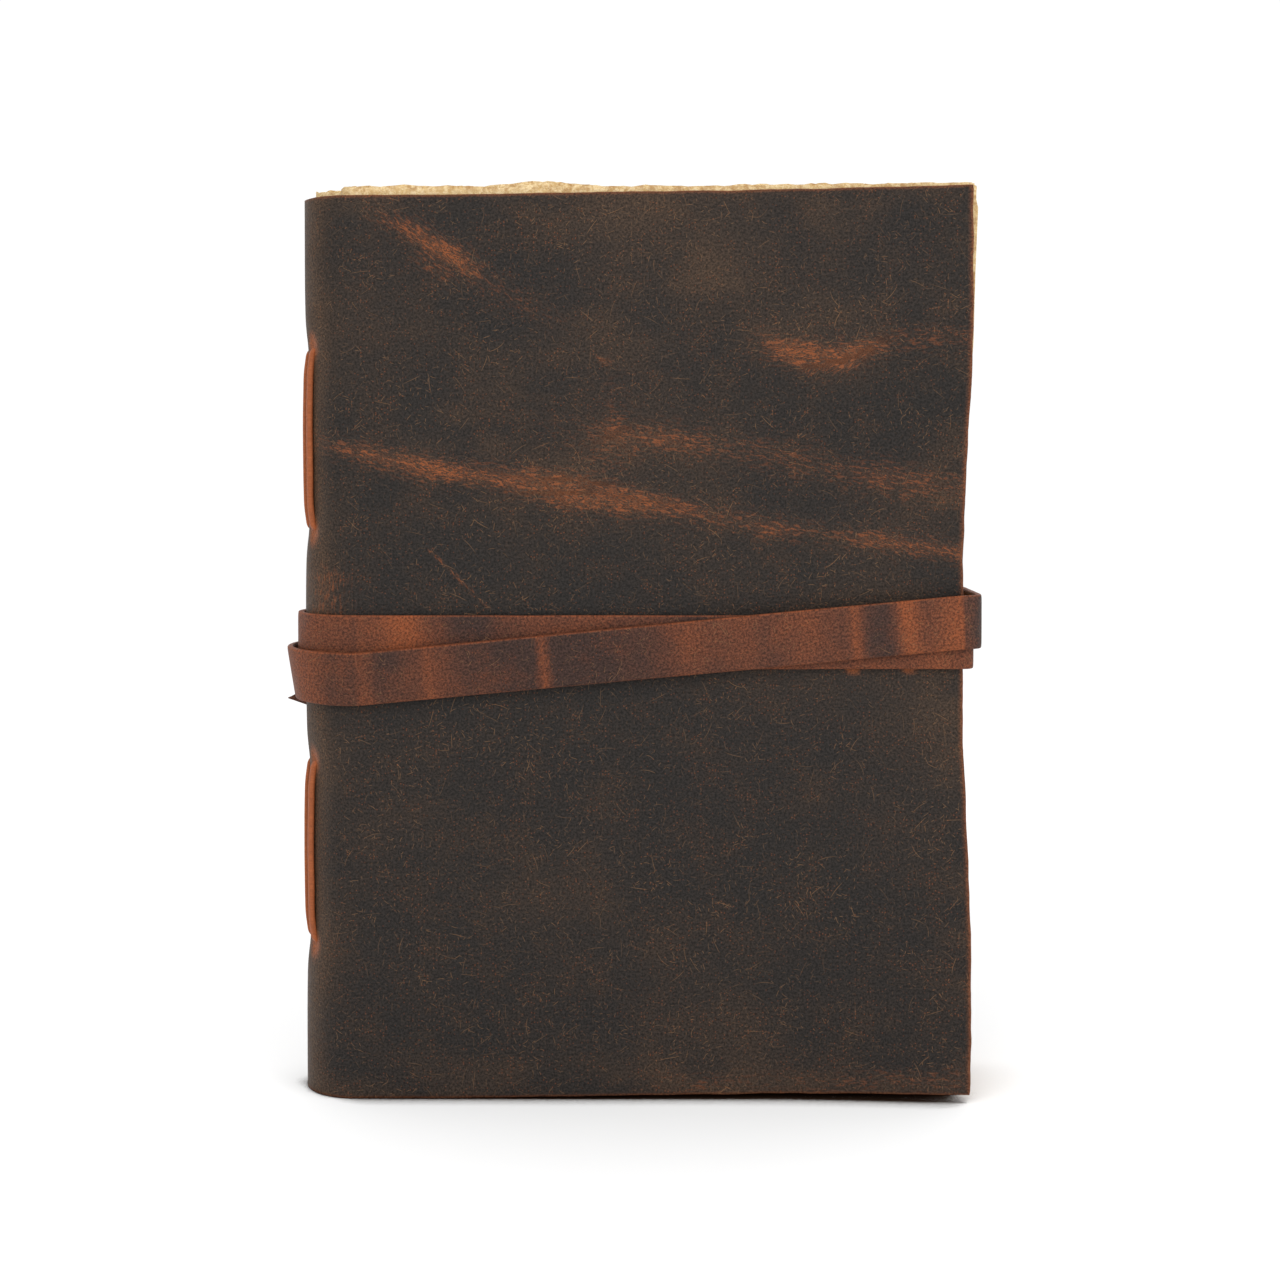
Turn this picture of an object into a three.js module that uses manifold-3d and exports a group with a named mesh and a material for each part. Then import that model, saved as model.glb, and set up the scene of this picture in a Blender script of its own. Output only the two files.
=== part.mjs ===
// A handmade journal standing on its tail: a soft leather cover in one wrap, three sewn
// signatures of folded handmade paper, leather lacing and a long strap wound twice round it.
// Millimetres, +Z up the book. The spine faces -X, the fore-edge +X and the front cover -Y.
import * as THREE from 'three';
import { mergeVertices } from 'three/addons/utils/BufferGeometryUtils.js';
import Module from 'manifold-3d';

const wasm = await Module();
wasm.setup();

// Cover
const COVER_HEIGHT = 203;
const COVER_WIDTH = 150.6;
const BOOK_THICKNESS = 26;
const LEATHER = 2;
const FOLD_ANGLE = Math.PI / 4; // from the spine's middle line to each hinge line
const SEAM_GAP = 0.3; // between the spine and each cover, measured round the outside
const FRONT_FLARE = 3.5; // how far the front cover's free corners stand out
const BACK_FLARE = 2;
const FLARE_REACH = 58; // the flare starts this far from the fore-edge
const STRAP_SQUEEZE = 1.5; // how far the strap draws the fore-edge in
const HELD_FIRMLY = 14.5; // the strap holds the cover flat this far above and below it
const HELD_FADE = 59; // and its hold fades out over this much more
const FRONT_LIFT = 1.8; // the front cover sits askew by this much at its fore-edge
const LIFT_CLEAR = 18; // the lift starts this far from the rounded spine

// Paper
const SIGNATURES = 3;
const SHEETS = 8; // folded sheets in each signature
const PAPER_GAP = 0.07; // between one folded sheet and the next
const BLOCK_GAP = 0.16; // between signatures, and from the outer ones to the cover
const VALLEY_R = 0.65; // inside radius of the innermost fold
const SPINE_GAP = 0.4; // from the middle signature's fold to the spine
const PAPER_FOOT = 1.8; // the paper stops this far above the tail
const PAPER_ABOVE = 2.1; // and stands this far above the head
const PAPER_FORE_TAIL = -3.2; // fore-edge of the paper against the cover's, at the tail
const PAPER_FORE_HEAD = 0.9; // and at the head
const RAGGED = 0.45; // how far torn edges differ from sheet to sheet

// Lacing
const THONG_WIDTH = 2;
const THONG_THICK = 1.3;
const THONG_PROUD = 0.1; // gap below a stitch
const SEWING_OUTER = 68; // outer sewing holes, above and below the book's middle
const SEWING_INNER = 25.8; // inner sewing holes
const COLUMN_ANGLE = THREE.MathUtils.degToRad(32); // between columns of stitches
const HOLE_PLAY = 0.25; // clearance of a thong in its hole, on every side
const INNER_RUN_DEPTH = 1.8;
const INNER_PLAY = 0.15; // between the inside run and the innermost fold
const RUN_SET_BACK = 0.2; // the inside run lies this far behind the centre of its fold
const LEG_INSIDE = 1.3; // the outer signatures' stitches end this far inside the leather
const LEG_GAP = 0.2; // from the middle signature's fold to its stitches
const KNOT_LENGTH = 5.6;
const KNOT_WIDTH = 4;
const KNOT_SWELL = 1.2; // the knot's thickness against the run's

// Strap
const STRAP_WIDTH = 12;
const STRAP = 1.5;
const STRAP_RISE = 1.6; // the first turn lies this far above the book's middle
const START_LENGTH = 30; // the strap starts this far along the back from the rounded spine
const POINT_LENGTH = 13.8; // of the strap's cut tail
const STRAP_GAP = 0.4; // from the cover to the first turn
const TURN_GAP = 0.3; // from one turn to the next
const EDGE_RADIUS = 1.1; // how tightly the strap turns at the fore-edge
const SECOND_LOW = -8.2; // the second turn's height at the spine, against the first turn's
const SECOND_HIGH = 4.6; // and at the fore-edge
const TAIL_DROP = -14.5; // the tail's height at the spine, against the first turn's
const TIP_DROP = -16.5;
const TIP_OUT = 7.6; // the tip stands this far past the spine
const LEAN = 0.16; // slope of the second turn where it leans on the edge of the first
const LEAN_SINK = 0.2; // how much nearer the cover its middle lies there
const SLIT_INSETS = [12.6, 25.4]; // slits in the front cover, from its fore-edge
const SLIT_LENGTH = 14;
const SLIT_WIDTH = 1;

// Sizes that follow
const RADIUS = BOOK_THICKNESS / 2;
const INNER_RADIUS = RADIUS - LEATHER;
const FORE_EDGE = COVER_WIDTH / 2;
const SPINE_X = -COVER_WIDTH / 2 + RADIUS; // centre of the half-round spine
const MIDDLE_Z = COVER_HEIGHT / 2;
const STRAP_Z = MIDDLE_Z + STRAP_RISE;
const SIGNATURE_PITCH = (2 * INNER_RADIUS - BLOCK_GAP) / SIGNATURES;
const SIGNATURE_HALF = (SIGNATURE_PITCH - BLOCK_GAP) / 2;
const SHEET_PITCH = (SIGNATURE_HALF - VALLEY_R + PAPER_GAP) / SHEETS;
const PAPER = SHEET_PITCH - PAPER_GAP;

const LEATHER_DARK = new THREE.MeshStandardMaterial({ color: 0x3c322d, roughness: 0.6, metalness: 0 });
const LEATHER_RED = new THREE.MeshStandardMaterial({ color: 0x643c2d, roughness: 0.55, metalness: 0 });
const LEATHER_TAN = new THREE.MeshStandardMaterial({ color: 0xaa5f37, roughness: 0.6, metalness: 0 });
const PAPER_CREAM = new THREE.MeshStandardMaterial({ color: 0xe6d3a6, roughness: 0.95, metalness: 0 });

const journal = new THREE.Group();
journal.name = 'leather_journal';

function addPiece(name, geometry, material) {
  const mesh = new THREE.Mesh(geometry, material);
  mesh.name = name;
  journal.add(mesh);
}

function welded(geometry) {
  geometry.deleteAttribute('normal');
  geometry.deleteAttribute('uv');
  return mergeVertices(geometry, 1e-4);
}

function toSolid(geometry) {
  const merged = welded(geometry);
  return new wasm.Manifold(new wasm.Mesh({
    numProp: 3,
    vertProperties: new Float32Array(merged.attributes.position.array),
    triVerts: new Uint32Array(merged.index.array),
  }));
}

function fromSolid(solid) {
  const mesh = solid.getMesh();
  const geometry = new THREE.BufferGeometry();
  geometry.setAttribute('position', new THREE.BufferAttribute(mesh.vertProperties, 3));
  geometry.setIndex(new THREE.BufferAttribute(mesh.triVerts, 1));
  return geometry;
}

function cutAway(geometry, cutters) {
  let solid = toSolid(geometry);
  for (const cutter of cutters) {
    solid = solid.subtract(toSolid(cutter));
  }
  return fromSolid(solid);
}

function boxAt(sizeX, sizeY, sizeZ, x, y, z) {
  return new THREE.BoxGeometry(sizeX, sizeY, sizeZ).translate(x, y, z);
}

// Moves every vertex to where `place` puts it.
function reshape(geometry, place) {
  const position = geometry.attributes.position;
  const point = new THREE.Vector3();
  for (let i = 0; i < position.count; i += 1) {
    point.fromBufferAttribute(position, i);
    place(point);
    position.setXYZ(i, point.x, point.y, point.z);
  }
  return geometry;
}

function smooth(t) {
  return THREE.MathUtils.smoothstep(t, 0, 1);
}

// Points on an arc, from one angle to another.
function arcPoints(centreX, centreY, radius, from, to, steps) {
  const points = [];
  for (let i = 0; i <= steps; i += 1) {
    const angle = from + ((to - from) * i) / steps;
    points.push(new THREE.Vector2(
      centreX + radius * Math.cos(angle),
      centreY + radius * Math.sin(angle),
    ));
  }
  return points;
}

function extruded(points, height, steps) {
  return new THREE.ExtrudeGeometry(new THREE.Shape(points), { depth: height, steps, bevelEnabled: false });
}

// ---- Cover ----

// How firmly the strap holds the cover at a height: 1 under the strap, 0 far from it.
function heldAt(z) {
  return 1 - smooth((Math.abs(z - STRAP_Z) - HELD_FIRMLY) / HELD_FADE);
}

// One cover with its half of the rounded corner. side is -1 for the front, 1 for the back.
function coverGeometry(side, flare, lift) {
  const arcSteps = 5;
  const heightSteps = 14;
  const liftStart = SPINE_X + LIFT_CLEAR;
  const foldAngle = Math.PI - side * FOLD_ANGLE;
  const seam = (-side * SEAM_GAP) / 2 / RADIUS;
  const flatAngle = side * (Math.PI / 2) + (side < 0 ? 2 * Math.PI : 0);
  const outside = arcPoints(SPINE_X, 0, RADIUS, foldAngle + seam, flatAngle, arcSteps);
  const inside = arcPoints(SPINE_X, 0, INNER_RADIUS, foldAngle + seam, flatAngle, arcSteps);
  const alongPanel = [0.2, 0.45, 0.65, 0.8, 0.91, 1];
  for (const share of alongPanel) {
    const x = SPINE_X + (FORE_EDGE - SPINE_X) * share;
    outside.push(new THREE.Vector2(x, side * RADIUS));
    inside.push(new THREE.Vector2(x, side * INNER_RADIUS));
  }
  const panel = extruded([...outside, ...inside.reverse()], COVER_HEIGHT, heightSteps);
  return reshape(panel, (p) => {
    const out = THREE.MathUtils.clamp(1 - (FORE_EDGE - p.x) / FLARE_REACH, 0, 1);
    const held = heldAt(p.z);
    p.y += side * flare * out * out * (1 - held);
    p.x -= STRAP_SQUEEZE * out * held;
    p.z += lift * Math.max(0, (p.x - liftStart) / (FORE_EDGE - liftStart));
  });
}

const slitCutters = SLIT_INSETS.map((inset) => boxAt(
  SLIT_WIDTH, 3 * LEATHER, SLIT_LENGTH,
  FORE_EDGE - inset, -RADIUS + LEATHER / 2, STRAP_Z,
));
addPiece('front_cover', cutAway(coverGeometry(-1, FRONT_FLARE, FRONT_LIFT), slitCutters), LEATHER_DARK);
addPiece('back_cover', welded(coverGeometry(1, BACK_FLARE, 0)), LEATHER_DARK);

// Places a shape drawn as (distance from the spine's centre line, height) so that it lies
// in the plane at `angle` round the spine, centred across its thickness.
function aroundSpine(points, thickness, angle) {
  const outward = new THREE.Vector3(Math.cos(angle), Math.sin(angle), 0);
  const up = new THREE.Vector3(0, 0, 1);
  const across = new THREE.Vector3().crossVectors(outward, up);
  const frame = new THREE.Matrix4().makeBasis(outward, up, across);
  frame.setPosition(
    SPINE_X - (across.x * thickness) / 2,
    -(across.y * thickness) / 2,
    0,
  );
  return extruded(points, thickness, 1).applyMatrix4(frame);
}

function rectangle(lowX, lowY, highX, highY) {
  return [
    new THREE.Vector2(lowX, lowY),
    new THREE.Vector2(highX, lowY),
    new THREE.Vector2(highX, highY),
    new THREE.Vector2(lowX, highY),
  ];
}

const stationHeights = [SEWING_OUTER, SEWING_INNER, -SEWING_INNER, -SEWING_OUTER]
  .map((offset) => MIDDLE_Z + offset);
const columnAngles = [-1, 0, 1].map((side) => Math.PI - side * COLUMN_ANGLE);

function spineGeometry() {
  const halfArc = FOLD_ANGLE - SEAM_GAP / 2 / RADIUS;
  const arcSteps = 10;
  const outside = arcPoints(SPINE_X, 0, RADIUS, Math.PI - halfArc, Math.PI + halfArc, arcSteps);
  const inside = arcPoints(SPINE_X, 0, INNER_RADIUS, Math.PI - halfArc, Math.PI + halfArc, arcSteps);
  const cutters = [];
  const halfHole = THONG_THICK / 2 + HOLE_PLAY;
  for (const angle of columnAngles) {
    for (const z of stationHeights) {
      const hole = rectangle(INNER_RADIUS - LEATHER, z - halfHole, RADIUS + LEATHER, z + halfHole);
      cutters.push(aroundSpine(hole, THONG_WIDTH + 2 * HOLE_PLAY, angle));
    }
  }
  return cutAway(extruded([...outside, ...inside.reverse()], COVER_HEIGHT, 1), cutters);
}

addPiece('spine', spineGeometry(), LEATHER_DARK);

// ---- Signatures ----

// Signature 1 lies against the front cover, the last one against the back cover.
function foldCentre(signature) {
  const y = (signature - (SIGNATURES - 1) / 2) * SIGNATURE_PITCH;
  const middle = Math.abs(y) < SIGNATURE_HALF;
  const x = middle ? SPINE_X - INNER_RADIUS + SPINE_GAP + SIGNATURE_HALF : SPINE_X - BLOCK_GAP;
  return new THREE.Vector2(x, y);
}

// A repeatable spread between -1 and 1 for torn edges.
function wander(index) {
  return Math.sin(index * 2.4) * 0.7 + Math.sin(index * 5.1) * 0.3;
}

function sheetGeometry(signature, sheet) {
  const centre = foldCentre(signature);
  const inner = VALLEY_R + sheet * SHEET_PITCH;
  const outer = inner + PAPER;
  const foldSteps = 10;
  const down = 1.5 * Math.PI;
  const up = 0.5 * Math.PI;
  const outside = arcPoints(centre.x, centre.y, outer, down, up, foldSteps);
  const inside = arcPoints(centre.x, centre.y, inner, down, up, foldSteps);
  const index = signature * SHEETS + sheet;
  const foot = PAPER_FOOT + RAGGED * wander(index + 0.5);
  const top = COVER_HEIGHT + PAPER_ABOVE + RAGGED * wander(index);
  const ragged = RAGGED * wander(index + 0.25);
  const outline = [
    new THREE.Vector2(FORE_EDGE, centre.y - outer),
    ...outside,
    new THREE.Vector2(FORE_EDGE, centre.y + outer),
    new THREE.Vector2(FORE_EDGE, centre.y + inner),
    ...inside.reverse(),
    new THREE.Vector2(FORE_EDGE, centre.y - inner),
  ];
  const folded = extruded(outline, top - foot, 1);
  reshape(folded, (p) => {
    const high = p.z / (top - foot);
    if (p.x > 0) {
      p.x += PAPER_FORE_TAIL + (PAPER_FORE_HEAD - PAPER_FORE_TAIL) * high + ragged;
    }
    p.z += foot;
  });
  const reach = outer + 1;
  const cutters = stationHeights.map((z) => boxAt(
    reach, 2 * (VALLEY_R + INNER_PLAY), THONG_THICK + 2 * HOLE_PLAY,
    centre.x - RUN_SET_BACK - reach / 2, centre.y, z,
  ));
  return cutAway(folded, cutters);
}

for (let signature = 0; signature < SIGNATURES; signature += 1) {
  for (let sheet = 0; sheet < SHEETS; sheet += 1) {
    addPiece(`sig_${signature + 1}_sheet_${sheet + 1}`, sheetGeometry(signature, sheet), PAPER_CREAM);
  }
}

// ---- Lacing ----

// A long stitch on the outside of the spine, with a leg through the leather at each end.
function stitchPoints(low, high, legEnd) {
  const base = RADIUS + THONG_PROUD;
  const face = base + THONG_THICK;
  const half = THONG_THICK / 2;
  const shape = new THREE.Shape();
  shape.moveTo(legEnd, low - half);
  shape.lineTo(base, low - half);
  shape.quadraticCurveTo(face, low - half, face, low + THONG_THICK);
  shape.lineTo(face, high - THONG_THICK);
  shape.quadraticCurveTo(face, high + half, base, high + half);
  shape.lineTo(legEnd, high + half);
  shape.lineTo(legEnd, high - half);
  shape.lineTo(base, high - half);
  shape.lineTo(base, low + half);
  shape.lineTo(legEnd, low + half);
  return shape.getPoints(4).slice(0, -1);
}

// The run inside the middle fold of a signature, with a leg out through every hole.
function innerRunPoints(centreX, legEnd) {
  const back = centreX - RUN_SET_BACK;
  const half = THONG_THICK / 2;
  const heights = [...stationHeights].sort((a, b) => a - b);
  const points = [];
  for (const z of heights) {
    points.push(new THREE.Vector2(back, z - half));
    points.push(new THREE.Vector2(legEnd, z - half));
    points.push(new THREE.Vector2(legEnd, z + half));
    points.push(new THREE.Vector2(back, z + half));
  }
  const front = back + INNER_RUN_DEPTH;
  points.push(new THREE.Vector2(front, heights[heights.length - 1] + half));
  points.push(new THREE.Vector2(front, heights[0] - half));
  return points.slice(1, -3).concat(points.slice(-2));
}

for (let signature = 0; signature < SIGNATURES; signature += 1) {
  const centre = foldCentre(signature);
  const foldBack = centre.x - SIGNATURE_HALF;
  const angle = columnAngles[SIGNATURES - 1 - signature];
  const middle = Math.abs(centre.y) < SIGNATURE_HALF;
  const legEnd = middle ? SPINE_X - foldBack + LEG_GAP : INNER_RADIUS - LEG_INSIDE;
  const name = `thong_${signature + 1}`;
  const [first, second, third, fourth] = stationHeights;
  const upper = aroundSpine(stitchPoints(second, first, legEnd), THONG_WIDTH, angle);
  const lower = aroundSpine(stitchPoints(fourth, third, legEnd), THONG_WIDTH, angle);
  addPiece(`${name}_upper_stitch`, welded(upper), LEATHER_TAN);
  addPiece(`${name}_lower_stitch`, welded(lower), LEATHER_TAN);

  const thickness = 2 * (VALLEY_R - INNER_PLAY);
  const run = extruded(innerRunPoints(centre.x, foldBack), thickness, 1);
  run.rotateX(Math.PI / 2).translate(0, centre.y + thickness / 2, 0);
  const knot = new THREE.SphereGeometry(1, 10, 8);
  knot.scale(KNOT_WIDTH / 2, (thickness * KNOT_SWELL) / 2, KNOT_LENGTH / 2);
  knot.translate(centre.x + KNOT_WIDTH / 2, centre.y, MIDDLE_Z);
  addPiece(`${name}_inner_run`, fromSolid(toSolid(run).add(toSolid(knot))), LEATHER_TAN);
}

// ---- Strap ----

const EDGE_X = FORE_EDGE - STRAP_SQUEEZE - LEATHER / 4;
const EDGE_Y = RADIUS - EDGE_RADIUS;

// Legs of the strap's way round the book. Each gives a point on the cover's outline and
// the direction straight out of it, for t from 0 to 1.
function lineLeg(fromX, toX, y, outY) {
  return (t) => ({ x: fromX + (toX - fromX) * t, y, nx: 0, ny: outY });
}

function arcLeg(centreX, centreY, radius, from, to) {
  return (t) => {
    const angle = from + (to - from) * t;
    const nx = Math.cos(angle);
    const ny = Math.sin(angle);
    return { x: centreX + radius * nx, y: centreY + radius * ny, nx, ny };
  };
}

const edgeLeg = (t) => ({ x: EDGE_X + EDGE_RADIUS, y: EDGE_Y * (2 * t - 1), nx: 1, ny: 0 });
const spineLeg = arcLeg(SPINE_X, 0, RADIUS, Math.PI / 2, 1.5 * Math.PI);
const frontCornerLeg = arcLeg(EDGE_X, -EDGE_Y, EDGE_RADIUS, -Math.PI / 2, 0);
const backCornerLeg = arcLeg(EDGE_X, EDGE_Y, EDGE_RADIUS, 0, Math.PI / 2);
const frontLeg = lineLeg(SPINE_X, EDGE_X, -RADIUS, -1);
const backLeg = lineLeg(EDGE_X, SPINE_X, RADIUS, 1);

// From the cover's outline to the middle of the strap's thickness, for each layer.
const LAYER = [0, 1, 2].map((n) => STRAP_GAP + STRAP / 2 + n * (STRAP + TURN_GAP));
const LEANING = LAYER[1] - LEAN_SINK;
const low = STRAP_Z + SECOND_LOW;
const high = STRAP_Z + SECOND_HIGH;
const tail = STRAP_Z + TAIL_DROP;
const tip = STRAP_Z + TIP_DROP;
const tipX = SPINE_X - RADIUS - TIP_OUT;
const shoulderX = tipX + POINT_LENGTH;

// leg, steps, height at its start and end, layer at its start and end, lean at both
const ROUTE = [
  [lineLeg(SPINE_X + START_LENGTH, SPINE_X, RADIUS, 1), 2, STRAP_Z, STRAP_Z, LAYER[0], LAYER[0], 0, 0],
  [spineLeg, 12, STRAP_Z, STRAP_Z, LAYER[0], LAYER[0], 0, 0],
  [frontLeg, 6, STRAP_Z, STRAP_Z, LAYER[0], LAYER[0], 0, 0],
  [frontCornerLeg, 4, STRAP_Z, STRAP_Z, LAYER[0], LAYER[0], 0, 0],
  [edgeLeg, 2, STRAP_Z, STRAP_Z, LAYER[0], LAYER[0], 0, 0],
  [backCornerLeg, 4, STRAP_Z, STRAP_Z, LAYER[0], LAYER[0], 0, 0],
  [backLeg, 12, STRAP_Z, low + 1, LAYER[0], LEANING, 0, LEAN],
  [spineLeg, 12, low + 1, low, LEANING, LEANING, LEAN, LEAN],
  [frontLeg, 12, low, high, LEANING, LAYER[1], LEAN, 0],
  [frontCornerLeg, 4, high, high, LAYER[1], LAYER[1], 0, 0],
  [edgeLeg, 2, high, high, LAYER[1], LAYER[1], 0, 0],
  [backCornerLeg, 4, high, high, LAYER[1], LAYER[1], 0, 0],
  [backLeg, 12, high, tail, LAYER[1], LAYER[2], 0, 0],
  [lineLeg(SPINE_X, shoulderX, RADIUS, 1), 1, tail, (tail + tip) / 2, LAYER[2], LAYER[2], 0, 0],
  [lineLeg(shoulderX, tipX, RADIUS, 1), 1, (tail + tip) / 2, tip, LAYER[2], LAYER[2], 0, 0],
];

// Stations along the strap's middle line, with the direction out of the cover at each.
function strapStations() {
  const stations = [];
  ROUTE.forEach(([leg, steps, fromZ, toZ, fromD, toD, fromLean, toLean], legIndex) => {
    for (let i = legIndex === 0 ? 0 : 1; i <= steps; i += 1) {
      const t = i / steps;
      const { x, y, nx, ny } = leg(t);
      const across = leg === backLeg ? smooth(t * 1.6) : smooth(t);
      const distance = fromD + (toD - fromD) * across;
      stations.push({
        middle: new THREE.Vector3(x + nx * distance, y + ny * distance, fromZ + (toZ - fromZ) * t),
        outward: new THREE.Vector3(nx, ny, 0),
        lean: fromLean + (toLean - fromLean) * across,
      });
    }
  });
  return stations;
}

function strapGeometry() {
  const stations = strapStations();
  const last = stations.length - 1;
  const strip = new THREE.BoxGeometry(last, 1, 1, last, 1, 1);
  return reshape(strip, (p) => {
    const i = Math.round(p.x + last / 2);
    const { middle, outward, lean } = stations[i];
    const before = stations[Math.max(0, i - 1)].middle;
    const after = stations[Math.min(last, i + 1)].middle;
    const along = new THREE.Vector3().subVectors(after, before).normalize();
    const widthways = new THREE.Vector3().crossVectors(along, outward).normalize();
    if (widthways.z < 0) {
      widthways.negate();
    }
    widthways.addScaledVector(outward, lean).normalize();
    const through = new THREE.Vector3().crossVectors(along, widthways).normalize();
    const width = i === last ? STRAP / 2 : STRAP_WIDTH;
    const side = p.y;
    const face = p.z;
    p.copy(middle).addScaledVector(widthways, side * width).addScaledVector(through, face * STRAP);
  });
}

addPiece('strap', welded(strapGeometry()), LEATHER_RED);

// ---- Place: the origin is under the middle of the object, on the surface it stands on ----

const bounds = new THREE.Box3().setFromObject(journal);
const middle = bounds.getCenter(new THREE.Vector3());
for (const piece of journal.children) {
  piece.geometry.translate(-middle.x, -middle.y, -bounds.min.z);
}

export default journal;
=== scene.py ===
import math

import bpy
import numpy as np
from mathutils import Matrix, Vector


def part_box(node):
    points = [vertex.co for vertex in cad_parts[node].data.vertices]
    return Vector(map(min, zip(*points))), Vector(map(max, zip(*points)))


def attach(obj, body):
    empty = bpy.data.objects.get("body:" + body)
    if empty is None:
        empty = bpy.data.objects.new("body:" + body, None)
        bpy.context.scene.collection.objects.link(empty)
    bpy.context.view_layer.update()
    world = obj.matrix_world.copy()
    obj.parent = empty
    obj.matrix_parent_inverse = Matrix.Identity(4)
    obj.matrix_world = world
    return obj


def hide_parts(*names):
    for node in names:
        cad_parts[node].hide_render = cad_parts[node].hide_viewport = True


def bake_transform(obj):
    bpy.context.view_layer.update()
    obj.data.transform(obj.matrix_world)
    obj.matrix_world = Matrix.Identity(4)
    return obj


bl_info = {
    "name": "Leather journal",
    "version": (1, 0, 0),
    "blender": (4, 5, 0),
    "location": "3D View > Sidebar > Journal",
    "description": "Builds a handmade leather journal with deckle-edged paper, lacing and a wrap strap",
    "category": "Object",
}

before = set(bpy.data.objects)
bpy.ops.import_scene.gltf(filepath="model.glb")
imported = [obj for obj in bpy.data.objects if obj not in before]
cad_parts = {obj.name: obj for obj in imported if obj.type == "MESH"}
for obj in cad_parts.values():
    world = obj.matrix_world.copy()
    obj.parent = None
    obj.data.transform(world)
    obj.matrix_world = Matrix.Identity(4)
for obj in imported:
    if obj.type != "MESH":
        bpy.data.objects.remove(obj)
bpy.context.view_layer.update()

MM = 0.001
SEWING = (68, 25.8, -25.8, -68)  # sewing holes above and below the book's middle, in millimetres
FLARE_REACH = 58  # the flare of the corners starts this far from the fore-edge
LIFT_CLEAR = 18  # the front cover's lift starts this far from the rounded spine
HELD_FIRMLY, HELD_FADE = 14.5, 59  # the strap's hold: full this far above and below it, then fading out
STRAP_SQUEEZE = 1.5  # how far the strap draws the fore-edge in
STRAP_RISE = 1.6  # the strap's first turn lies this far above the middle
SECOND_LOW, SECOND_HIGH = -8.2, 4.6  # heights of the second turn at spine and fore-edge, against the first
TAIL_DROP, TIP_DROP = -14.5, -16.5  # heights of the tail at the spine and of its tip, against the first turn
TIP_OUT = 7.6  # the tip stands this far past the spine
POINT_LENGTH = 1.15  # of the strap's cut tail, in strap widths
START_LENGTH = 30  # the strap starts this far along the back from the rounded spine
STRAP_GAP, TURN_GAP = 0.4, 0.3  # from the cover to the first turn, and from one turn to the next
CORNER_RADIUS = 1.1  # how tightly the strap turns at the fore-edge
LEAN = 0.16  # slope of the second turn where it leans on the edge of the first
LEAN_SINK = 0.2  # how much nearer the cover its middle lies there
SLIT_INSETS = (12.6, 25.4)  # slits in the front cover, from its fore-edge
PAPER_GAP, BLOCK_GAP = 0.07, 0.16  # between folded sheets, and between signatures
VALLEY_RADIUS, SPINE_GAP = 0.65, 0.4  # inside the innermost fold, and from the middle fold to the spine
PAPER_FOOT, PAPER_ABOVE = 1.6, 1.7  # the paper stops above the tail and stands above the head
THONG_THICK, THONG_WIDE = 1.3, 2.1
COLUMN_ANGLE = math.radians(32)  # between columns of stitches
BEND_START, BEND_END = math.radians(18), math.radians(72)  # where the opening cover bends, round the spine; the script works out points there but does not use them
SHEETS = 8
SIGNATURES = 3


# ---------------------------------------------------------------- numbers


def smooth(t):
    """Smoothstep of t, held to 0..1."""
    t = np.clip(t, 0, 1)
    return t * t * (3 - 2 * t)


def bump(x, centre, width):
    """A bell of height 1 at centre: exp(-((x - centre) / width)^2)."""
    return np.exp(-(((x - centre) / width) ** 2))


def hashed(i, j, seed):
    """A repeatable number in 0..1 for each lattice point."""
    return np.mod(np.sin(i * 127.1 + j * 311.7 + seed * 74.7) * 43758.5453, 1.0)


def noise(x, y, seed=0):
    """Value noise in -1..1: lattice values blended by smoothstep in x and y."""
    x, y = np.broadcast_arrays(np.asarray(x, float), np.asarray(y, float))
    i, j = np.floor(x), np.floor(y)
    u, v = smooth(x - i), smooth(y - j)
    low = hashed(i, j, seed) * (1 - u) + hashed(i + 1, j, seed) * u
    high = hashed(i, j + 1, seed) * (1 - u) + hashed(i + 1, j + 1, seed) * u
    return 2 * (low * (1 - v) + high * v) - 1


def layered(x, y, seed=0, octaves=4):
    """Sum of octaves of noise, each twice as fine and half as strong."""
    total = 0
    for k in range(octaves):
        total = total + noise(x * 2**k, y * 2**k, seed + 13 * k) / 2**k
    return total / (2 - 2 ** (1 - octaves))


def from_line(x, y, points):
    """Distance of (x, y) from a bent line through points (x, y, strength), and the line's strength there."""
    best, strength = np.full(np.shape(x), 1e9), np.zeros(np.shape(x))
    for (ax, ay, sa), (bx, by, sb) in zip(points[:-1], points[1:]):
        dx, dy = bx - ax, by - ay
        t = np.clip(((x - ax) * dx + (y - ay) * dy) / (dx * dx + dy * dy), 0, 1)
        d = np.hypot(x - ax - t * dx, y - ay - t * dy)
        near = d < best
        best, strength = np.where(near, d, best), np.where(near, sa + (sb - sa) * t, strength)
    return best, strength


def unit(vectors, least=0.0):
    """Each row divided by its length (or by least, if that is more)."""
    return vectors / np.maximum(np.linalg.norm(vectors, axis=1, keepdims=True), least)


def distances(points):
    """Distance along a line of points, from its first: the running sum of the steps' lengths."""
    return np.concatenate([[0], np.cumsum(np.linalg.norm(np.diff(points, axis=0), axis=1))])


def linear(red, green, blue):
    """A colour given as 0..255 display values, as linear numbers with alpha."""
    c = np.array([red, green, blue]) / 255
    c = np.where(c <= 0.04045, c / 12.92, ((c + 0.055) / 1.055) ** 2.4)
    return (*c.tolist(), 1.0)


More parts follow.
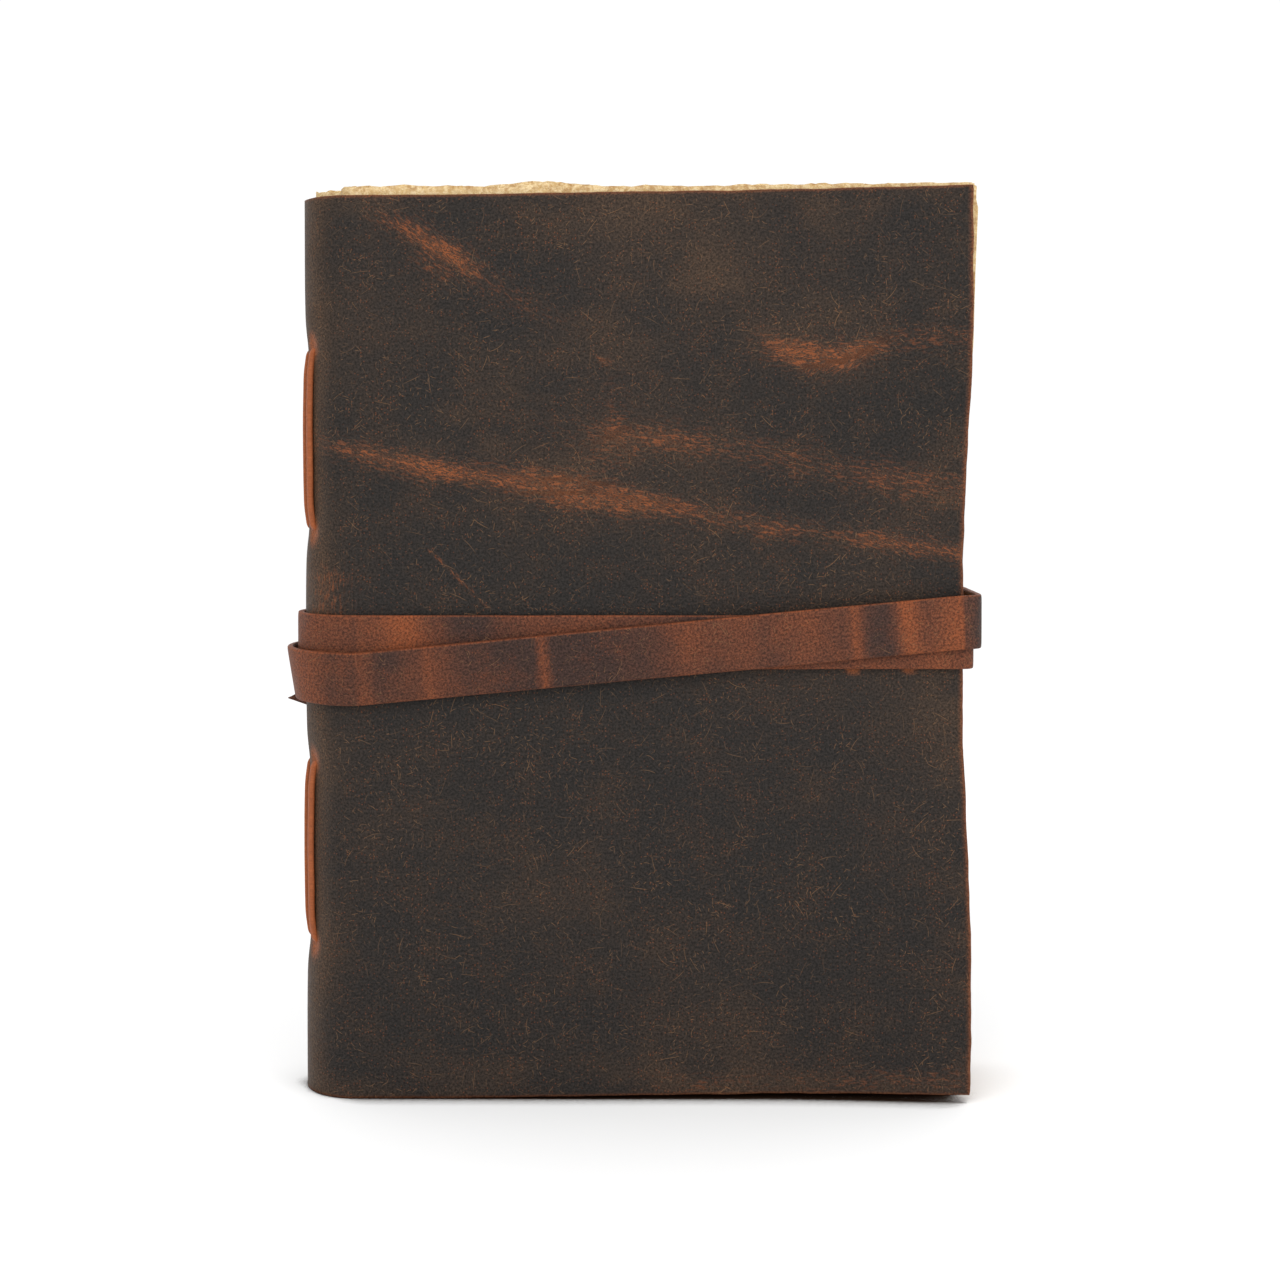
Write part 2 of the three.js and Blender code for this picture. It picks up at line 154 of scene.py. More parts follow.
class Book:
    """The journal's sizes in millimetres, in its own frame: x = 0 midway across the cover."""

    def __init__(self, settings):
        self.height = settings.cover_height / MM
        self.width = settings.cover_width / MM
        self.radius = settings.thickness / 2 / MM
        self.leather = settings.leather / MM
        self.strap_width = settings.strap_width / MM
        self.strap = settings.strap_thickness / MM
        self.fore = self.width / 2
        self.spine_x = self.radius - self.fore
        self.strap_z = self.height / 2 + STRAP_RISE
        low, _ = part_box("spine")
        thong_low, thong_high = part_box("thong_2_upper_stitch")
        self.shift = np.array(
            [low[0] / MM + self.fore, (thong_low[1] + thong_high[1]) / 2 / MM, 0.0]
        )

    def place(self, points):
        """Book millimetres to row-frame metres."""
        return (np.asarray(points) + self.shift) * MM

    def held(self, z):
        """1 under the strap, 0 far above or below it."""
        return 1 - smooth((np.abs(z - self.strap_z) - HELD_FIRMLY) / HELD_FADE)

    def sewing(self):
        """Heights of the sewing holes."""
        return [self.height / 2 + offset for offset in SEWING]


# ---------------------------------------------------------------- meshes


def mesh_object(name, verts, quads, tris=(), materials=(), face_slots=None, uv=None, layers=None):
    """Makes an object from arrays: verts in metres, quads and tris as vertex indices, uv and layers by
    vertex."""
    quads = np.asarray(quads, np.int32).reshape(-1, 4)
    tris = np.asarray(tris, np.int32).reshape(-1, 3)
    corners = np.concatenate([quads.ravel(), tris.ravel()])
    starts = np.concatenate(
        [np.arange(len(quads)) * 4, len(quads) * 4 + np.arange(len(tris)) * 3]
    )
    mesh = bpy.data.meshes.new(name)
    mesh.vertices.add(len(verts))
    mesh.vertices.foreach_set("co", np.asarray(verts, np.float32).ravel())
    mesh.loops.add(len(corners))
    mesh.loops.foreach_set("vertex_index", corners)
    mesh.polygons.add(len(starts))
    mesh.polygons.foreach_set("loop_start", starts.astype(np.int32))
    mesh.polygons.foreach_set("use_smooth", np.ones(len(starts), bool))
    for m in materials:
        mesh.materials.append(m)
    if face_slots is not None:
        mesh.polygons.foreach_set("material_index", np.asarray(face_slots, np.int32))
    if uv is not None:
        layer = mesh.uv_layers.new(name="UVMap")
        layer.data.foreach_set("uv", np.asarray(uv, np.float32)[corners].ravel())
    for key, values in (layers or {}).items():
        attribute = mesh.attributes.new(key, "FLOAT", "POINT")
        attribute.data.foreach_set("value", np.asarray(values, np.float32).ravel())
    mesh.update(calc_edges=True)
    mesh.validate()
    thing = bpy.data.objects.new(name, mesh)
    bpy.context.scene.collection.objects.link(thing)
    return thing


def grid_faces(rows, columns, offset=0, flip=False):
    """Quads of a rows x columns grid of vertices stored row by row."""
    index = np.arange(rows * columns).reshape(rows, columns) + offset
    a, b, c, d = index[:-1, :-1], index[1:, :-1], index[1:, 1:], index[:-1, 1:]
    faces = np.stack([a, b, c, d], -1).reshape(-1, 4)
    return faces[:, ::-1] if flip else faces


def border(rows, columns):
    """Vertex indices once round a grid's border."""
    index = np.arange(rows * columns).reshape(rows, columns)
    return np.concatenate(
        [index[:-1, 0], index[-1, :-1], index[:0:-1, -1], index[0, :0:-1]]
    )


def shell(name, outer, inner, bulge, materials, uv, layers=None):
    """A closed sheet: an outer and an inner grid (rows x columns x 3, millimetres in the row frame), joined
    round the border by a rim whose middle loop stands bulge further out than the two borders' mean.
    Material 0 is the outer face, 1 the inner, 2 the rim."""
    rows, columns = outer.shape[:2]
    n, ring = rows * columns, border(rows, columns)
    flat_outer, flat_inner = outer.reshape(-1, 3), inner.reshape(-1, 3)
    inward = np.zeros((rows, columns, 3))
    inward[0], inward[-1] = outer[1] - outer[0], outer[-2] - outer[-1]
    inward[:, 0] += outer[:, 1] - outer[:, 0]
    inward[:, -1] += outer[:, -2] - outer[:, -1]
    away = unit(-inward.reshape(-1, 3)[ring], 1e-9)
    reach = bulge.reshape(-1)[ring][:, None]
    middle = (flat_outer[ring] + flat_inner[ring]) / 2 + away * reach
    verts = np.concatenate([flat_outer, flat_inner, middle]) * MM
    loop = len(ring)
    after = np.roll(np.arange(loop), -1)
    rim = np.arange(loop) + 2 * n
    rim_after = after + 2 * n
    outer_strip = np.stack([ring, rim, rim_after, ring[after]], -1)
    inner_strip = np.stack([rim, ring + n, ring[after] + n, rim_after], -1)
    faces = np.concatenate(
        [
            grid_faces(rows, columns, flip=True),
            grid_faces(rows, columns, offset=n),
            outer_strip[:, ::-1],
            inner_strip[:, ::-1],
        ]
    )
    count = len(grid_faces(rows, columns))
    slots = np.concatenate([np.zeros(count), np.ones(count), np.full(2 * loop, 2)])
    flat_uv = uv.reshape(-1, 2)
    all_uv = np.concatenate([flat_uv, flat_uv, flat_uv[ring]]) * MM
    kept = {
        key: np.concatenate([v.ravel(), v.ravel(), v.ravel()[ring]])
        for key, v in (layers or {}).items()
    }
    thing = mesh_object(
        name, verts, faces, materials=materials, face_slots=slots, uv=all_uv, layers=kept
    )
    return outward(thing)


def outward(thing):
    """Turns every face of a closed mesh outwards, if its volume comes out negative."""
    mesh = thing.data
    mesh.calc_loop_triangles()
    co = np.empty(len(mesh.vertices) * 3, np.float32)
    mesh.vertices.foreach_get("co", co)
    co = co.reshape(-1, 3).astype(float)
    tri = np.empty(len(mesh.loop_triangles) * 3, np.int32)
    mesh.loop_triangles.foreach_get("vertices", tri)
    a, b, c = (co[tri.reshape(-1, 3)[:, k]] for k in range(3))
    if np.einsum("ij,ij->i", a, np.cross(b, c)).sum() < 0:
        mesh.flip_normals()
    return thing


def sweep(
    name, middle, across, out, half_width, half_thick, materials, power=4.0, points=28, ends=0.35, layers=None
):
    """A solid swept along a path. Its section is a superellipse |a|^p + |b|^p = 1, half_width along the
    direction across and half_thick along out; both ends are rounded off over ends x half_thick. Arrays are
    per station, in millimetres. The UV map is (distance along, a half_width + b half_thick)."""
    angle = np.linspace(0, 2 * math.pi, points, endpoint=False)
    a = np.sign(np.cos(angle)) * np.abs(np.cos(angle)) ** (2 / power)
    b = np.sign(np.sin(angle)) * np.abs(np.sin(angle)) ** (2 / power)
    along = distances(middle)
    from_end = np.minimum(along, along[-1] - along)
    closing = np.minimum(1, from_end / (ends * half_thick))[:, None]
    shrink = np.sqrt(np.clip(1 - (1 - closing) ** 2, 0.0025, 1))
    rings = (
        middle[:, None]
        + across[:, None] * (a * half_width[:, None] * (0.75 + 0.25 * shrink))[..., None]
        + out[:, None] * (b * half_thick[:, None] * shrink)[..., None]
    )
    stations = len(middle)
    verts = rings.reshape(-1, 3)
    verts = np.concatenate([verts, middle[:1], middle[-1:]]) * MM
    index = np.arange(stations * points).reshape(stations, points)
    turn = np.roll(index, -1, axis=1)
    quads = np.stack([index[:-1], index[1:], turn[1:], turn[:-1]], -1).reshape(-1, 4)
    start, end = stations * points, stations * points + 1
    first = np.stack([index[0], turn[0], np.full(points, start)], -1)
    last = np.stack([turn[-1], index[-1], np.full(points, end)], -1)
    u = np.broadcast_to(along[:, None], (stations, points))
    v = a * half_width[:, None] + b * half_thick[:, None]
    uv = np.stack([u, v], -1).reshape(-1, 2)
    uv = np.concatenate([uv, [[0, 0]], [[along[-1], 0]]]) * MM
    # Rim value: lighter rims, partly wear and partly painted highlight; the rim on the across side (the
    # strap's upper rim) gets more than the other, for light falling on top.
    rim = np.where(a > 0, 0.5, 0.15) * smooth((np.abs(a) - 0.93) / 0.06)
    edge = np.concatenate([np.broadcast_to(rim, (stations, points)).ravel(), [1, 1]])
    kept = {"edge": edge}
    for key, per_station in (layers or {}).items():
        spread = np.broadcast_to(per_station[:, None], (stations, points)).ravel()
        kept[key] = np.concatenate([spread, per_station[:1], per_station[-1:]])
    thing = mesh_object(name, verts, quads, np.concatenate([first, last]), materials, uv=uv, layers=kept)
    return outward(thing)


# ---------------------------------------------------------------- shader helpers


def put(tree, kind, inputs=None, **properties):
    """Adds a shader node. inputs maps socket names or numbers to values or to sockets to link from."""
    made = tree.nodes.new("ShaderNode" + kind)
    for key, value in properties.items():
        setattr(made, key, value)
    for key, value in (inputs or {}).items():
        socket = made.inputs[key]
        if isinstance(value, bpy.types.NodeSocket):
            tree.links.new(value, socket)
        else:
            socket.default_value = value
    return made


def maths(tree, operation, a, b=0.0, clamp=False):
    """One sum with a and b, held to 0..1 if clamp is set."""
    return put(tree, "Math", {0: a, 1: b}, operation=operation, use_clamp=clamp).outputs[0]


def times(tree, a, b, clamp=False):
    """a x b."""
    return maths(tree, "MULTIPLY", a, b, clamp)


def plus(tree, a, b, clamp=False):
    """a + b."""
    return maths(tree, "ADD", a, b, clamp)


def ranged(tree, value, low, high, to_low=0.0, to_high=1.0):
    """value mapped from low..high to to_low..to_high, held at both ends, with smooth steps."""
    return put(
        tree,
        "MapRange",
        {"Value": value, "From Min": low, "From Max": high, "To Min": to_low, "To Max": to_high},
        interpolation_type="SMOOTHSTEP",
    ).outputs[0]


def mixed(tree, factor, a, b, blend_type="MIX"):
    """Colour a mixed towards b by factor."""
    made = put(tree, "Mix", data_type="RGBA", blend_type=blend_type, clamp_factor=True)
    for socket, value in ((made.inputs[0], factor), (made.inputs[6], a), (made.inputs[7], b)):
        if isinstance(value, bpy.types.NodeSocket):
            tree.links.new(value, socket)
        else:
            socket.default_value = value
    return made.outputs[2]


def cloud(tree, vector, scale, detail=3.0, rough=0.55, distortion=0.0):
    """Fractal noise of vector, about 0.5 in the middle."""
    return put(
        tree,
        "TexNoise",
        {"Vector": vector, "Scale": scale, "Detail": detail, "Roughness": rough, "Distortion": distortion},
    ).outputs["Fac"]


def stretched(tree, vector, angle, scale, offset=0.0, back=None):
    """vector turned by -angle (or by back), then scaled: a small first scale draws a pattern out along
    angle."""
    turned = put(
        tree,
        "VectorRotate",
        {"Vector": vector, "Axis": (0, 0, 1), "Angle": -angle if back is None else back},
        rotation_type="AXIS_ANGLE",
    ).outputs[0]
    scaled = put(tree, "VectorMath", {0: turned, 1: scale}, operation="MULTIPLY").outputs[0]
    moved = put(tree, "VectorMath", {0: scaled, 1: (offset, offset, offset)}, operation="ADD")
    return moved.outputs[0]


def group(name, sockets_in, sockets_out):
    """A new shader node group with named sockets; returns (tree, input node, output node)."""
    tree = bpy.data.node_groups.new(name, "ShaderNodeTree")
    for key, kind, value in sockets_in:
        socket = tree.interface.new_socket(name=key, in_out="INPUT", socket_type="NodeSocket" + kind)
        if value is not None:
            socket.default_value = value
    for key, kind in sockets_out:
        tree.interface.new_socket(name=key, in_out="OUTPUT", socket_type="NodeSocket" + kind)
    return tree, tree.nodes.new("NodeGroupInput"), tree.nodes.new("NodeGroupOutput")


def scaled_vector(tree, given):
    """A group's Vector input times its Scale input."""
    inputs = {0: given.outputs["Vector"], "Scale": given.outputs["Scale"]}
    return put(tree, "VectorMath", inputs, operation="SCALE").outputs[0]


def scratch_group():
    """Short hair-fine scratches, one to a cell, each turned and bent its own way, in three sizes of cell."""
    tree, given, result = group(
        "Fine scratches",
        [("Vector", "Vector", None), ("Amount", "Float", 0.5)],
        [("Mask", "Float")],
    )
    vector = given.outputs["Vector"]
    total = None
    for k, (cells, reach) in enumerate(((900, 0.0005), (520, 0.0010), (210, 0.0026))):
        apart = (0.37 * k, 0.23 * k, 0)
        moved = put(tree, "VectorMath", {0: vector, 1: apart}, operation="ADD").outputs[0]
        cell = put(tree, "TexVoronoi", {"Vector": moved, "Scale": cells}, voronoi_dimensions="2D")
        away = put(
            tree, "VectorMath", {0: moved, 1: cell.outputs["Position"]}, operation="SUBTRACT"
        ).outputs[0]
        chance = put(tree, "SeparateColor", {"Color": cell.outputs["Color"]})
        turned = put(
            tree,
            "VectorRotate",
            {"Vector": away, "Axis": (0, 0, 1), "Angle": times(tree, chance.outputs[0], 6.283)},
            rotation_type="AXIS_ANGLE",
        ).outputs[0]
        parts = put(tree, "SeparateXYZ", {"Vector": turned})
        along, off = parts.outputs[0], parts.outputs[1]
        bend = times(tree, maths(tree, "SUBTRACT", chance.outputs[1], 0.5), 0.5 / reach)
        bend = times(tree, bend, times(tree, along, along))
        beside = maths(tree, "ABSOLUTE", plus(tree, off, bend))
        thin = ranged(tree, beside, 0.00001, 0.00009, 1.0, 0.0)
        short = ranged(tree, maths(tree, "ABSOLUTE", along), 0.4 * reach, reach, 1.0, 0.0)
        part = times(tree, thin, short)
        part = times(tree, part, ranged(tree, chance.outputs[2], 0.52, 1.0))
        total = part if total is None else maths(tree, "MAXIMUM", total, part)
    bunched = ranged(tree, cloud(tree, vector, 55, 4.0, 0.6), 0.4, 0.64, 0.35, 1.0)
    total = times(tree, total, bunched)
    tree.links.new(times(tree, total, given.outputs["Amount"], True), result.inputs["Mask"])
    return tree


def grain_group():
    """Leather grain: pebbled cells broken by finer noise, as a height."""
    tree, given, result = group(
        "Leather grain",
        [("Vector", "Vector", None), ("Scale", "Float", 1.0)],
        [("Height", "Float")],
    )
    bent = scaled_vector(tree, given)
    cells = put(tree, "TexVoronoi", {"Vector": bent, "Scale": 1300.0, "Randomness": 1.0})
    fine = cloud(tree, bent, 2600.0, 3.0)
    height = times(tree, plus(tree, cells.outputs["Distance"], fine), 0.6)
    tree.links.new(height, result.inputs["Height"])
    return tree


def pull_up_group(scratches, grain):
    """Oiled pull-up leather: mottled dark grain, rubbed lighter where it is bent, scratched or worn, and
    lighter where its Edge and Warmth inputs carry painted highlight.
    """
    tree, given, result = group(
        "Pull-up leather",
        [
            ("Vector", "Vector", None),
            ("Dark", "Color", linear(44, 37, 34)),
            ("Warm", "Color", linear(78, 56, 42)),
            ("Rubbed", "Color", linear(150, 92, 55)),
            ("Crease", "Float", 0.0),
            ("Turn", "Float", 0.0),
            ("Warmth", "Float", 0.0),
            ("Edge", "Float", 0.0),
            ("Scratches", "Float", 0.5),
            ("Speckle", "Float", 0.5),
            ("Grit", "Float", 1.0),
        ],
        [("Color", "Color"), ("Roughness", "Float"), ("Height", "Float")],
    )
    get = given.outputs
    vector = get["Vector"]
    broad = cloud(tree, vector, 16, 4.0, 0.6, 0.3)
    patch = cloud(tree, vector, 95, 6.0, 0.68)
    grit = cloud(tree, vector, 1900, 3.0, 0.8)
    warm = ranged(tree, broad, 0.42, 0.7, 0.0, 0.3)
    warm = plus(tree, warm, ranged(tree, patch, 0.4, 0.75, 0.0, 0.28))
    warm = plus(tree, warm, get["Warmth"], True)
    color = mixed(tree, warm, get["Dark"], get["Warm"])
    color = mixed(tree, get["Grit"], color, ranged(tree, grit, 0.36, 0.64, 0.45, 1.8), "MULTIPLY")
    dots = put(tree, "TexVoronoi", {"Vector": vector, "Scale": 1500.0}, voronoi_dimensions="2D")
    chosen = put(tree, "SeparateColor", {"Color": dots.outputs["Color"]})
    likely = plus(tree, chosen.outputs[0], ranged(tree, patch, 0.4, 0.65, -0.12, 0.06))
    speck = ranged(tree, dots.outputs["Distance"], 0.12, 0.3, 1.0, 0.0)
    speck = times(tree, speck, ranged(tree, likely, 0.7, 1.0))
    speck = times(tree, speck, get["Speckle"])
    color = mixed(tree, speck, color, get["Rubbed"])
    scratching = {"Vector": vector, "Amount": get["Scratches"]}
    marks = put(tree, "Group", scratching, node_tree=scratches)
    color = mixed(tree, times(tree, marks.outputs["Mask"], 0.6), color, linear(138, 102, 70))
    crease = get["Crease"]
    back = times(tree, get["Turn"], -1.0)
    wrinkle = cloud(tree, stretched(tree, vector, 0.0, (430, 1750, 1), 0.0, back), 1.0, 2.0, 0.6, 0.7)
    slanting = stretched(tree, vector, 0.0, (430, 1600, 1), 5.0, plus(tree, back, 0.7))
    cross = cloud(tree, slanting, 1.0, 2.0, 0.6, 0.6)
    furrows = ranged(tree, maths(tree, "ABSOLUTE", maths(tree, "SUBTRACT", wrinkle, 0.5)), 0.0, 0.1)
    crossing = maths(tree, "ABSOLUTE", maths(tree, "SUBTRACT", cross, 0.5))
    furrows = times(tree, furrows, ranged(tree, crossing, 0.0, 0.09, 0.35, 1.0))
    fringe = ranged(tree, plus(tree, crease, ranged(tree, wrinkle, 0.3, 0.7, -0.3, 0.3)), 0.0, 0.95)
    pulled = times(tree, fringe, ranged(tree, furrows, 0.0, 0.85, 0.05, 1.0))
    pulled = times(tree, pulled, maths(tree, "POWER", crease, 0.5), True)
    color = mixed(tree, times(tree, pulled, 0.76), color, get["Rubbed"])
    # Edge lightens towards the rubbed colour: wear on the cover; on the strap, wear with a painted highlight
    # on its upper rim.
    worn = times(tree, get["Edge"], ranged(tree, grit, 0.35, 0.6, 0.25, 1.0), True)
    color = mixed(tree, worn, color, get["Rubbed"])
    skin = put(tree, "Group", {"Vector": vector}, node_tree=grain)
    height = plus(tree, skin.outputs["Height"], times(tree, marks.outputs["Mask"], -0.35))
    raised = times(tree, times(tree, furrows, crease), 0.8)
    height = plus(tree, height, raised)
    rough = ranged(tree, patch, 0.3, 0.7, 0.5, 0.64)
    rough = plus(tree, rough, times(tree, pulled, -0.08))
    rough = plus(tree, rough, times(tree, marks.outputs["Mask"], 0.1))
    for key, value in (("Color", color), ("Roughness", rough), ("Height", height)):
        tree.links.new(value, result.inputs[key])
    return tree


def fibre_group():
    """Rag paper or the cut side of leather: matted fibres as a colour factor and a height."""
    tree, given, result = group(
        "Fibres",
        [("Vector", "Vector", None), ("Scale", "Float", 1.0)],
        [("Factor", "Float"), ("Height", "Float"), ("Blotch", "Float")],
    )
    vector = scaled_vector(tree, given)
    threads = cloud(tree, vector, 900.0, 4.0, 0.7, 1.5)
    clumps = cloud(tree, vector, 240.0, 4.0, 0.6, 0.5)
    blotch = cloud(tree, vector, 45.0, 4.0, 0.6)
    tree.links.new(threads, result.inputs["Factor"])
    tree.links.new(plus(tree, times(tree, threads, 0.5), clumps), result.inputs["Height"])
    tree.links.new(blotch, result.inputs["Blotch"])
    return tree


def material(name):
    """A new material with one surface shader: (material, node tree, shader)."""
    made = bpy.data.materials.new(name)
    made.use_nodes = True
    tree = made.node_tree
    tree.nodes.clear()
    surface = put(tree, "BsdfPrincipled")
    output = put(tree, "OutputMaterial")
    tree.links.new(surface.outputs[0], output.inputs["Surface"])
    return made, tree, surface


def value_of(tree, name):
    """A value stored on the mesh."""
    return put(tree, "Attribute", attribute_name=name).outputs["Fac"]


def finish_surface(tree, surface, color, rough, height, strength, distance):
    """Links colour, roughness and a bump of height (strength, distance in metres) to the shader."""
    tree.links.new(color, surface.inputs["Base Color"])
    if isinstance(rough, bpy.types.NodeSocket):
        tree.links.new(rough, surface.inputs["Roughness"])
    else:
        surface.inputs["Roughness"].default_value = rough
    bent = put(tree, "Bump", {"Strength": strength, "Distance": distance, "Height": height})
    tree.links.new(bent.outputs[0], surface.inputs["Normal"])


def hide_material(name, pull_up, values, attributes):
    """Grain side of the leather, from the pull-up group. values sets its inputs, and attributes links them to
    values stored on the mesh."""
    made, tree, surface = material(name)
    uv = put(tree, "UVMap", uv_map="UVMap").outputs[0]
    look = put(tree, "Group", {"Vector": uv, **values}, node_tree=pull_up)
    for key, attribute in attributes.items():
        tree.links.new(value_of(tree, attribute), look.inputs[key])
    finish_surface(
        tree, surface, look.outputs["Color"], look.outputs["Roughness"], look.outputs["Height"], 0.6, 0.0002
    )
    surface.inputs["Specular IOR Level"].default_value = 0.15
    return made


def fibre_material(name, fibres, low, high, spot, rough, strength, distance, scale=1.0):
    """Fibrous matter, such as rag paper, flesh side or a cut edge."""
    made, tree, surface = material(name)
    where = put(tree, "TexCoord").outputs["Object"]
    look = put(tree, "Group", node_tree=fibres)
    tree.links.new(where, look.inputs["Vector"])
    look.inputs["Scale"].default_value = scale
    color = mixed(tree, ranged(tree, look.outputs["Factor"], 0.35, 0.65), low, high)
    color = mixed(tree, ranged(tree, look.outputs["Blotch"], 0.52, 0.72, 0.0, 0.8), color, spot)
    finish_surface(tree, surface, color, rough, look.outputs["Height"], strength, distance)
    surface.inputs["Specular IOR Level"].default_value = 0.2
    return made, tree, surface, color


def paper_material(fibres, paper):
    """Rag paper of the colour given, that browns towards its torn edges."""
    made, tree, surface, color = fibre_material(
        "Handmade paper", fibres, linear(200, 170, 118), paper, linear(204, 174, 122), 0.92, 0.9, 0.0004
    )
    torn = value_of(tree, "torn")
    fibre = cloud(tree, put(tree, "TexCoord").outputs["Object"], 520.0, 4.0, 0.7)
    brown = times(tree, torn, ranged(tree, fibre, 0.4, 0.66, 0.1, 0.75), True)
    color = mixed(tree, brown, color, linear(146, 98, 44))
    tree.links.new(color, surface.inputs["Base Color"])
    return made


def make_materials(settings):
    """The journal's materials, by the short names that the operators use."""
    scratches, grain, fibres = scratch_group(), grain_group(), fibre_group()
    pull_up = pull_up_group(scratches, grain)
    bent = {"Crease": "crease", "Turn": "turn", "Warmth": "warmth"}
    keys = ("Dark", "Warm", "Rubbed", "Scratches", "Speckle", "Grit")
    cover, strap = tuple(settings.cover_color), tuple(settings.strap_color)
    thong, clean = tuple(settings.lacing_color), tuple(settings.paper_color)
    hides = {}
    for key, name, values, attributes in (
        ("cover", "Cover leather", (cover, linear(58, 44, 33), linear(144, 79, 42), 1.0, 0.34, 1.0),
         {**bent, "Edge": "worn"}),
        # The strap's Edge is the sweep's rim value: wear, with a painted highlight on the upper rim.
        ("strap", "Strap leather", (linear(48, 33, 28), strap, linear(142, 74, 38), 0.9, 0.35, 0.95),
         {**bent, "Edge": "edge"}),
        ("thong", "Lacing leather", (thong, linear(172, 98, 56), linear(190, 116, 70), 0.15, 0.15, 0.25), {}),
    ):
        hides[key] = hide_material(name, pull_up, dict(zip(keys, values)), attributes)
    flesh = fibre_material(
        "Flesh side", fibres, linear(100, 62, 40), linear(134, 88, 58), linear(84, 52, 34), 0.95, 0.9, 0.0004
    )[0]
    cut = fibre_material(
        "Cut edge", fibres, linear(62, 42, 32), linear(134, 82, 50), linear(46, 34, 28), 0.9, 0.9, 0.0003, 1.6
    )[0]
    paper = paper_material(fibres, clean)
    return {**hides, "flesh": flesh, "cut": cut, "paper": paper}


# ---------------------------------------------------------------- the cover

# Soft folds in the front cover, in millimetres: half-width, the way they run (radians), then points
# (x from the middle of the cover's width, height above the tail, strength).
CREASES = (
    (1.6, -0.62, ((-60, 200, 0.0), (-54, 197, 0.5), (-47, 193, 0.9), (-40, 189, 1.0), (-34, 184, 0.45),
        (-22, 177, 0.2), (-12, 172, 0.0))),
    (1.2, -0.62, ((-52, 191, 0.0), (-44, 186, 0.4), (-36, 181, 0.0))),
    (1.65, -0.19, ((-72, 148, 0.35), (-60, 145, 0.8), (-46, 142, 1.0), (-30, 139, 0.95), (-10, 134, 0.9),
        (8, 132, 0.55), (28, 128, 0.55), (48, 125, 0.5), (62, 123, 0.7), (76, 121, 0.6))),
    (1.1, -0.15, ((-36, 143, 0.0), (-14, 139, 0.6), (6, 134, 0.3), (20, 132, 0.0))),
    (2.3, -0.17, ((-24, 151, 0.0), (-10, 149, 0.35), (6, 148, 0.55), (22, 145, 0.35), (42, 141, 0.4),
        (56, 138, 0.55), (76, 135, 0.45))),
    (2.0, 0.0, ((25, 171, 0.0), (30, 168.5, 0.55), (37, 166, 1.0), (44, 165.5, 1.0), (51, 167, 0.7),
        (60, 169, 0.35), (75, 169.5, 0.3))),
    (1.3, 0.5, ((40, 162, 0.0), (48, 164, 0.5), (56, 169, 0.0))),
    (3.0, 0.0, ((-22, 134, 0.0), (-8, 141, 0.3), (-4, 152, 0.25), (-6, 165, 0.0))),
    (0.22, -0.95, ((-46, 124, 0.4), (-40, 118, 0.6), (-32, 110, 0.2))),
    (0.7, 0.0, ((-7.2, 165.4, 0.9), (-6.2, 165.0, 0.9))),
    (2.6, 1.55, ((-69, 122, 0.0), (-69, 117, 0.55), (-68.5, 108, 0.6), (-68, 100, 0.2), (-68, 90, 0.0))),
    (1.6, 0.0, ((2, 3, 0.0), (14, 2.5, 0.35), (28, 3, 0.1), (52, 3, 0.3), (72, 4, 0.35))),
)


def section_path(book, side, offset):
    """Half of the cover's section from the spine's middle line to the fore-edge, at offset inside the outer
    face: a short flat, a quarter turn and the panel. Returns the points, the outward directions and the
    distance along."""
    flat = 0.5
    bend = book.radius - flat
    turn = bend * math.pi / 2
    panel = book.fore - (book.spine_x - flat)
    cuts = [0, flat / 2, flat]
    cuts += list(flat + np.linspace(0, turn, 27)[1:])
    cuts += list(flat + turn + np.linspace(0, panel - 4, 132)[1:])
    cuts += list(flat + turn + panel - 4 + np.array([1, 2, 2.8, 3.4, 3.8, 4.0]) - 0.25)
    s = np.array(cuts)
    angle = np.clip((s - flat) / bend, 0, math.pi / 2)
    along = np.clip(s - flat - turn, 0, None)
    nx, ny = -np.cos(angle), side * np.sin(angle)
    cx, cy = book.spine_x - flat, side * flat
    x = np.where(s < flat, -book.fore + 0 * s, cx + bend * nx + along)
    y = np.where(s < flat, side * s, cy + bend * ny)
    return x - offset * nx, y - offset * ny, nx, ny, s


